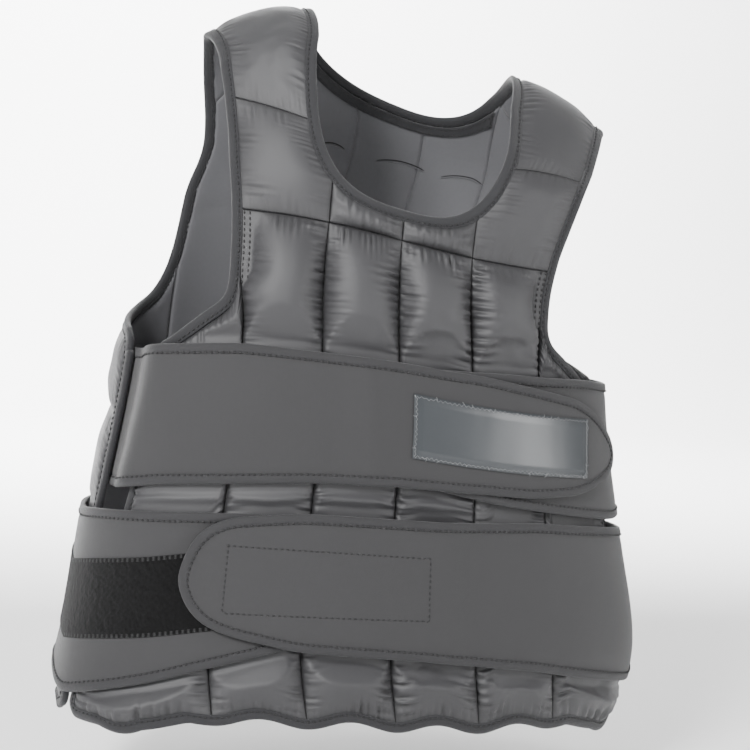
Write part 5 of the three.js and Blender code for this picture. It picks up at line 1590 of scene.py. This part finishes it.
def cloth_material(
    name, colour, roughness, threads, bump, slubs=0.5, patches=6.0, sheen=0.0, spread=0.18, coat=0.0,
    specular=0.35, seams=False,
):
    """A fabric finish: woven relief, slow changes of shade, and its own gloss."""
    group = bpy.data.node_groups.get("Woven cloth") or weave_group()
    material = bpy.data.materials.new(name)
    material.use_nodes = True
    nodes, link = material.node_tree.nodes, material.node_tree.links.new
    shader = nodes["Principled BSDF"]
    pattern = nodes.new("ShaderNodeUVMap")
    pattern.uv_map = "Pattern"
    weave = nodes.new("ShaderNodeGroup")
    weave.node_tree = group
    weave.inputs["Threads"].default_value = threads
    weave.inputs["Slubs"].default_value = slubs
    weave.inputs["Patches"].default_value = patches
    link(pattern.outputs["UV"], weave.inputs["Pattern"])
    ramp = nodes.new("ShaderNodeMix")
    ramp.data_type = "RGBA"
    dark, light = (tuple(c * k for c in colour[:3]) + (1.0,) for k in (1 - spread, 1 + spread))
    ramp.inputs["A"].default_value = dark
    ramp.inputs["B"].default_value = light
    link(weave.outputs["Shade"], ramp.inputs["Factor"])
    shaded = ramp.outputs["Result"]
    # The colour is darkened near seams and in fold valleys from a mesh attribute: painted shade, with some
    # seam dirt at the seams.
    if seams:
        dirt_and_shade_attribute = nodes.new("ShaderNodeAttribute")
        dirt_and_shade_attribute.attribute_name = "seam_shade"
        darker = nodes.new("ShaderNodeMix")
        darker.data_type = "RGBA"
        darker.inputs["B"].default_value = tuple(c * 0.25 for c in colour[:3]) + (1.0,)
        link(dirt_and_shade_attribute.outputs["Fac"], darker.inputs["Factor"])
        link(shaded, darker.inputs["A"])
        shaded = darker.outputs["Result"]
    link(shaded, shader.inputs["Base Color"])
    gloss = nodes.new("ShaderNodeMapRange")
    gloss.inputs["To Min"].default_value = roughness - 0.07
    gloss.inputs["To Max"].default_value = roughness + 0.07
    link(weave.outputs["Shade"], gloss.inputs["Value"])
    link(gloss.outputs["Result"], shader.inputs["Roughness"])
    relief = nodes.new("ShaderNodeBump")
    relief.inputs["Strength"].default_value = bump
    relief.inputs["Distance"].default_value = 0.0003
    link(weave.outputs["Height"], relief.inputs["Height"])
    link(relief.outputs["Normal"], shader.inputs["Normal"])
    shader.inputs["Specular IOR Level"].default_value = specular
    shader.inputs["Sheen Weight"].default_value = sheen
    shader.inputs["Sheen Roughness"].default_value = 0.4
    shader.inputs["Coat Weight"].default_value = coat
    shader.inputs["Coat Roughness"].default_value = 0.25
    return material


def finish(name):
    """The vest's finishes, made once from the chosen colours."""
    known = bpy.data.materials.get(name)
    if known:
        return known
    colours = bpy.context.scene.vest_colours
    cloths = {
        # The satin's last value turns on its darkened seams and fold valleys: painted shade, with some seam
        # dirt at the seams.
        "Satin nylon": (colours.satin, 0.48, 1100, 0.25, 0.5, 5.0, 0.1, 0.16, 0.0, 0.5, True),
        "Lining cloth": (colours.lining, 0.72, 1100, 0.35, 0.5, 7.0, 0.15, 0.16),
        "Slit shadow": (colours.shadow, 0.9, 1100, 0.2),
        "Binding tape": (colours.binding, 0.7, 800, 0.6, 0.6, 14.0, 0.2, 0.2),
        "Neoprene knit": (colours.neoprene, 0.66, 620, 0.7, 0.7, 9.0, 0.2, 0.24),
        "Loop pile": (colours.loop, 0.95, 500, 1.0, 2.5, 420.0, 0.12, 0.7, 0.0, 0.12),
        "Edging tape": (colours.edging, 0.68, 700, 0.7, 0.7, 14.0, 0.15, 0.2),
        "Coated label": (colours.label, 0.3, 500, 0.05, 0.3, 4.0, 0.0, 0.12, 0.5),
    }
    threads = {
        "Edge thread": (colours.edge_thread, 0.6),
        "Dark thread": (colours.thread, 0.6),
        "Silver thread": (colours.silver, 0.35),
    }
    if name in cloths:
        return cloth_material(name, *cloths[name])
    return thread_material(name, *threads[name])


def thread_material(name, colour, roughness):
    """Sewing thread, a little uneven in colour and surface."""
    material = bpy.data.materials.new(name)
    material.use_nodes = True
    nodes, link = material.node_tree.nodes, material.node_tree.links.new
    shader = nodes["Principled BSDF"]
    place_of = nodes.new("ShaderNodeTexCoord")
    noise = nodes.new("ShaderNodeTexNoise")
    noise.inputs["Scale"].default_value = 900.0
    link(place_of.outputs["Object"], noise.inputs["Vector"])
    ramp = nodes.new("ShaderNodeMix")
    ramp.data_type = "RGBA"
    ramp.inputs["A"].default_value = tuple(c * 0.7 for c in colour[:3]) + (1.0,)
    ramp.inputs["B"].default_value = tuple(min(1.0, c * 1.3) for c in colour[:3]) + (1.0,)
    link(noise.outputs["Fac"], ramp.inputs["Factor"])
    link(ramp.outputs["Result"], shader.inputs["Base Color"])
    shader.inputs["Roughness"].default_value = roughness
    relief = nodes.new("ShaderNodeBump")
    relief.inputs["Distance"].default_value = 0.0002
    link(noise.outputs["Fac"], relief.inputs["Height"])
    link(relief.outputs["Normal"], shader.inputs["Normal"])
    return material


# Stage.
FLOOR_LEVEL = -0.556
TARGET = Vector((0.006, 0, -0.252))
CAMERA_AZIMUTH = -14
CAMERA_ELEVATION = 3
CAMERA_ROLL = 3.5
CAMERA_DISTANCE = 1.2
FOCAL_SHARE = 1590 / 750


def add_camera():
    azimuth, elevation = math.radians(CAMERA_AZIMUTH), math.radians(CAMERA_ELEVATION)
    level = math.cos(elevation)
    back = Vector((math.sin(azimuth) * level, -math.cos(azimuth) * level, math.sin(elevation)))
    right = Vector((math.cos(azimuth), math.sin(azimuth), 0))
    up = back.cross(right)
    roll = math.radians(CAMERA_ROLL)
    rolled_right = math.cos(roll) * right + math.sin(roll) * up
    rolled_up = -math.sin(roll) * right + math.cos(roll) * up
    data = bpy.data.cameras.new("Camera")
    data.sensor_width = 36
    data.lens = 36 * FOCAL_SHARE
    camera = bpy.data.objects.new("Camera", data)
    turn = Matrix((rolled_right, rolled_up, back)).transposed().to_4x4()
    camera.matrix_world = Matrix.Translation(TARGET + back * CAMERA_DISTANCE) @ turn
    bpy.context.scene.collection.objects.link(camera)
    bpy.context.scene.camera = camera


def add_light(name, place_at, size, power, aim_at=TARGET):
    data = bpy.data.lights.new(name, "AREA")
    data.energy = power
    data.size = size
    lamp = bpy.data.objects.new(name, data)
    aim = Vector(aim_at) - Vector(place_at)
    lamp.matrix_world = Matrix.Translation(place_at) @ aim.to_track_quat("-Z", "Y").to_matrix().to_4x4()
    bpy.context.scene.collection.objects.link(lamp)


def add_sweep(colour):
    """The floor, which curves up into a wall far behind the vest."""
    depth, radius, tall, wide = 3.0, 1.2, 4.0, 9.0
    turn = np.linspace(0, np.pi / 2, 25)
    profile = [(-6.0, 0.0), (depth, 0.0)]
    profile += [(depth + radius * math.sin(a), radius * (1 - math.cos(a))) for a in turn[1:]]
    profile += [(depth + radius, tall)]
    rows = np.array([[(x, y, FLOOR_LEVEL + z) for x in (-wide, wide)] for y, z in profile])
    faces = grid_faces(len(profile), 2)
    material = bpy.data.materials.new("Pale floor")
    material.use_nodes = True
    shader = material.node_tree.nodes["Principled BSDF"]
    shader.inputs["Base Color"].default_value = tuple(colour[:3]) + (1.0,)
    shader.inputs["Roughness"].default_value = 0.9
    sweep = add_mesh("floor_sweep", rows.reshape(-1, 3), faces, [material])


# The add-on's properties, operators and panel.
class VestSizes(bpy.types.PropertyGroup):
    pressure: bpy.props.FloatProperty(
        name="Pressure", description="Air pressure that fills the stuffed pieces", default=4.0, min=0.0
    )
    cloth_slack: bpy.props.FloatProperty(
        name="Cloth slack", description="How much larger the cloth is cut than its seams", default=0.008,
        min=0.0, max=0.2, subtype="FACTOR"
    )
    swell_cap: bpy.props.FloatProperty(
        name="Swell cap", description="The furthest that a point of stuffed cloth may move", default=0.005,
        unit="LENGTH", subtype="DISTANCE"
    )
    pinch_depth: bpy.props.FloatProperty(
        name="Pinch depth", description="Depth of the short folds along the seams", default=0.002,
        unit="LENGTH", subtype="DISTANCE"
    )
    stitch_pitch: bpy.props.FloatProperty(
        name="Stitch pitch", description="Distance from stitch to stitch", default=0.004,
        unit="LENGTH", subtype="DISTANCE"
    )
    stitch_length: bpy.props.FloatProperty(
        name="Stitch length", description="Length of thread that shows in each stitch", default=0.0028,
        unit="LENGTH", subtype="DISTANCE"
    )
    thread_radius: bpy.props.FloatProperty(
        name="Thread radius", description="Half the thickness of the sewing thread", default=0.00045,
        unit="LENGTH", subtype="DISTANCE"
    )


def colour_property(name, description, default):
    return bpy.props.FloatVectorProperty(
        name=name, description=description, default=default, size=3, subtype="COLOR", min=0.0, max=1.0
    )


class VestColours(bpy.types.PropertyGroup):
    satin: colour_property("Satin", "Outer nylon of the stuffed pieces", (0.0285, 0.0282, 0.0305))
    lining: colour_property("Lining", "Inner cloth of both panels", (0.084, 0.084, 0.09))
    shadow: colour_property("Slit", "Inside of the pocket slits", (0.01, 0.01, 0.011))
    binding: colour_property("Binding", "Folded tape along the edges", (0.016, 0.016, 0.018))
    neoprene: colour_property("Neoprene", "Knit face of the belts", (0.027, 0.0266, 0.028))
    loop: colour_property("Loop pile", "Fastening panel", (0.0042, 0.0042, 0.0044))
    label: colour_property("Label", "Coated patch", (0.029, 0.033, 0.037))
    thread: colour_property("Thread", "Sewing thread of the seams", (0.005, 0.005, 0.0055))
    edging: colour_property("Edging", "Folded tape round the belts", (0.0225, 0.0222, 0.024))
    edge_thread: colour_property("Edge thread", "Woven edges of the fastening panel", (0.01, 0.01, 0.0105))
    silver: colour_property("Silver thread", "Thread round the label", (0.2, 0.205, 0.21))
    floor: colour_property("Floor", "Floor and wall", (0.93, 0.93, 0.93))


class VEST_OT_stage(bpy.types.Operator):
    """Adds the camera, the floor and the lights"""

    bl_idname = "vest.stage"
    bl_label = "Stage"

    def execute(self, context):
        add_camera()
        add_sweep(context.scene.vest_colours.floor)
        add_light("key", (-1.6, -1.8, 1.0), 0.7, 124)
        add_light("fill", (2.2, -1.8, 0.3), 1.2, 42)
        add_light("top", (0.1, 0.7, 2.2), 1.6, 12)
        add_light("wall", (-0.2, 1.4, 2.2), 2.6, 900, (-0.2, 4.0, 1.4))
        world = bpy.data.worlds.new("Studio")
        world.use_nodes = True
        world.node_tree.nodes["Background"].inputs["Color"].default_value = (1, 1, 1, 1)
        world.node_tree.nodes["Background"].inputs["Strength"].default_value = 0.62
        context.scene.world = world
        return {"FINISHED"}


class VEST_OT_stuffed(bpy.types.Operator):
    """Adds the stuffed channels, yokes and shoulder pads"""

    bl_idname = "vest.stuffed"
    bl_label = "Stuffed pieces"

    def execute(self, context):
        add_stuffed_pieces(context.scene.vest_sizes, finish("Satin nylon"))
        add_strip_stitches(context.scene.vest_sizes, finish("Dark thread"))
        return {"FINISHED"}


class VEST_OT_linings(bpy.types.Operator):
    """Adds the linings, the pocket slits and the band inside the back"""

    bl_idname = "vest.linings"
    bl_label = "Linings"

    def execute(self, context):
        add_linings([finish("Lining cloth"), finish("Slit shadow")])
        add_band(context.scene.vest_sizes, finish("Binding tape"), finish("Dark thread"))
        return {"FINISHED"}


class VEST_OT_bindings(bpy.types.Operator):
    """Adds the bound edges with their stitches"""

    bl_idname = "vest.bindings"
    bl_label = "Bindings"

    def execute(self, context):
        add_bindings(context.scene.vest_sizes, finish("Binding tape"), finish("Dark thread"))
        return {"FINISHED"}


class VEST_OT_belts(bpy.types.Operator):
    """Adds the belts with their edging, stitches and fastening panel"""

    bl_idname = "vest.belts"
    bl_label = "Belts"

    def execute(self, context):
        sizes = context.scene.vest_sizes
        add_belts(sizes, finish("Neoprene knit"), finish("Edging tape"), finish("Dark thread"))
        add_loop_panel(sizes, finish("Loop pile"), finish("Edge thread"))
        return {"FINISHED"}


class VEST_OT_label(bpy.types.Operator):
    """Adds the bare label patch with its stitching"""

    bl_idname = "vest.label"
    bl_label = "Label"

    def execute(self, context):
        add_label(finish("Coated label"), finish("Silver thread"))
        return {"FINISHED"}


OPERATORS = (
    VEST_OT_stage, VEST_OT_stuffed, VEST_OT_linings, VEST_OT_bindings, VEST_OT_belts, VEST_OT_label
)


class VEST_PT_panel(bpy.types.Panel):
    """Lists the vest's sizes, colours and pieces"""

    bl_idname = "VEST_PT_panel"
    bl_label = "Weighted vest"
    bl_space_type = "VIEW_3D"
    bl_region_type = "UI"
    bl_category = "Vest"

    def draw(self, context):
        for group in (context.scene.vest_sizes, context.scene.vest_colours):
            column = self.layout.column(align=True)
            for name in group.__annotations__:
                column.prop(group, name)
        for operator in OPERATORS:
            self.layout.operator(operator.bl_idname)


CLASSES = (VestSizes, VestColours) + OPERATORS + (VEST_PT_panel,)


def register():
    for item in CLASSES:
        bpy.utils.register_class(item)
    bpy.types.Scene.vest_sizes = bpy.props.PointerProperty(type=VestSizes)
    bpy.types.Scene.vest_colours = bpy.props.PointerProperty(type=VestColours)


def unregister():
    del bpy.types.Scene.vest_colours
    del bpy.types.Scene.vest_sizes
    for item in reversed(CLASSES):
        bpy.utils.unregister_class(item)


def main():
    register()
    bpy.ops.vest.stage()
    bpy.ops.vest.stuffed()
    bpy.ops.vest.linings()
    bpy.ops.vest.bindings()
    bpy.ops.vest.belts()
    bpy.ops.vest.label()


if __name__ == "__main__":
    main()
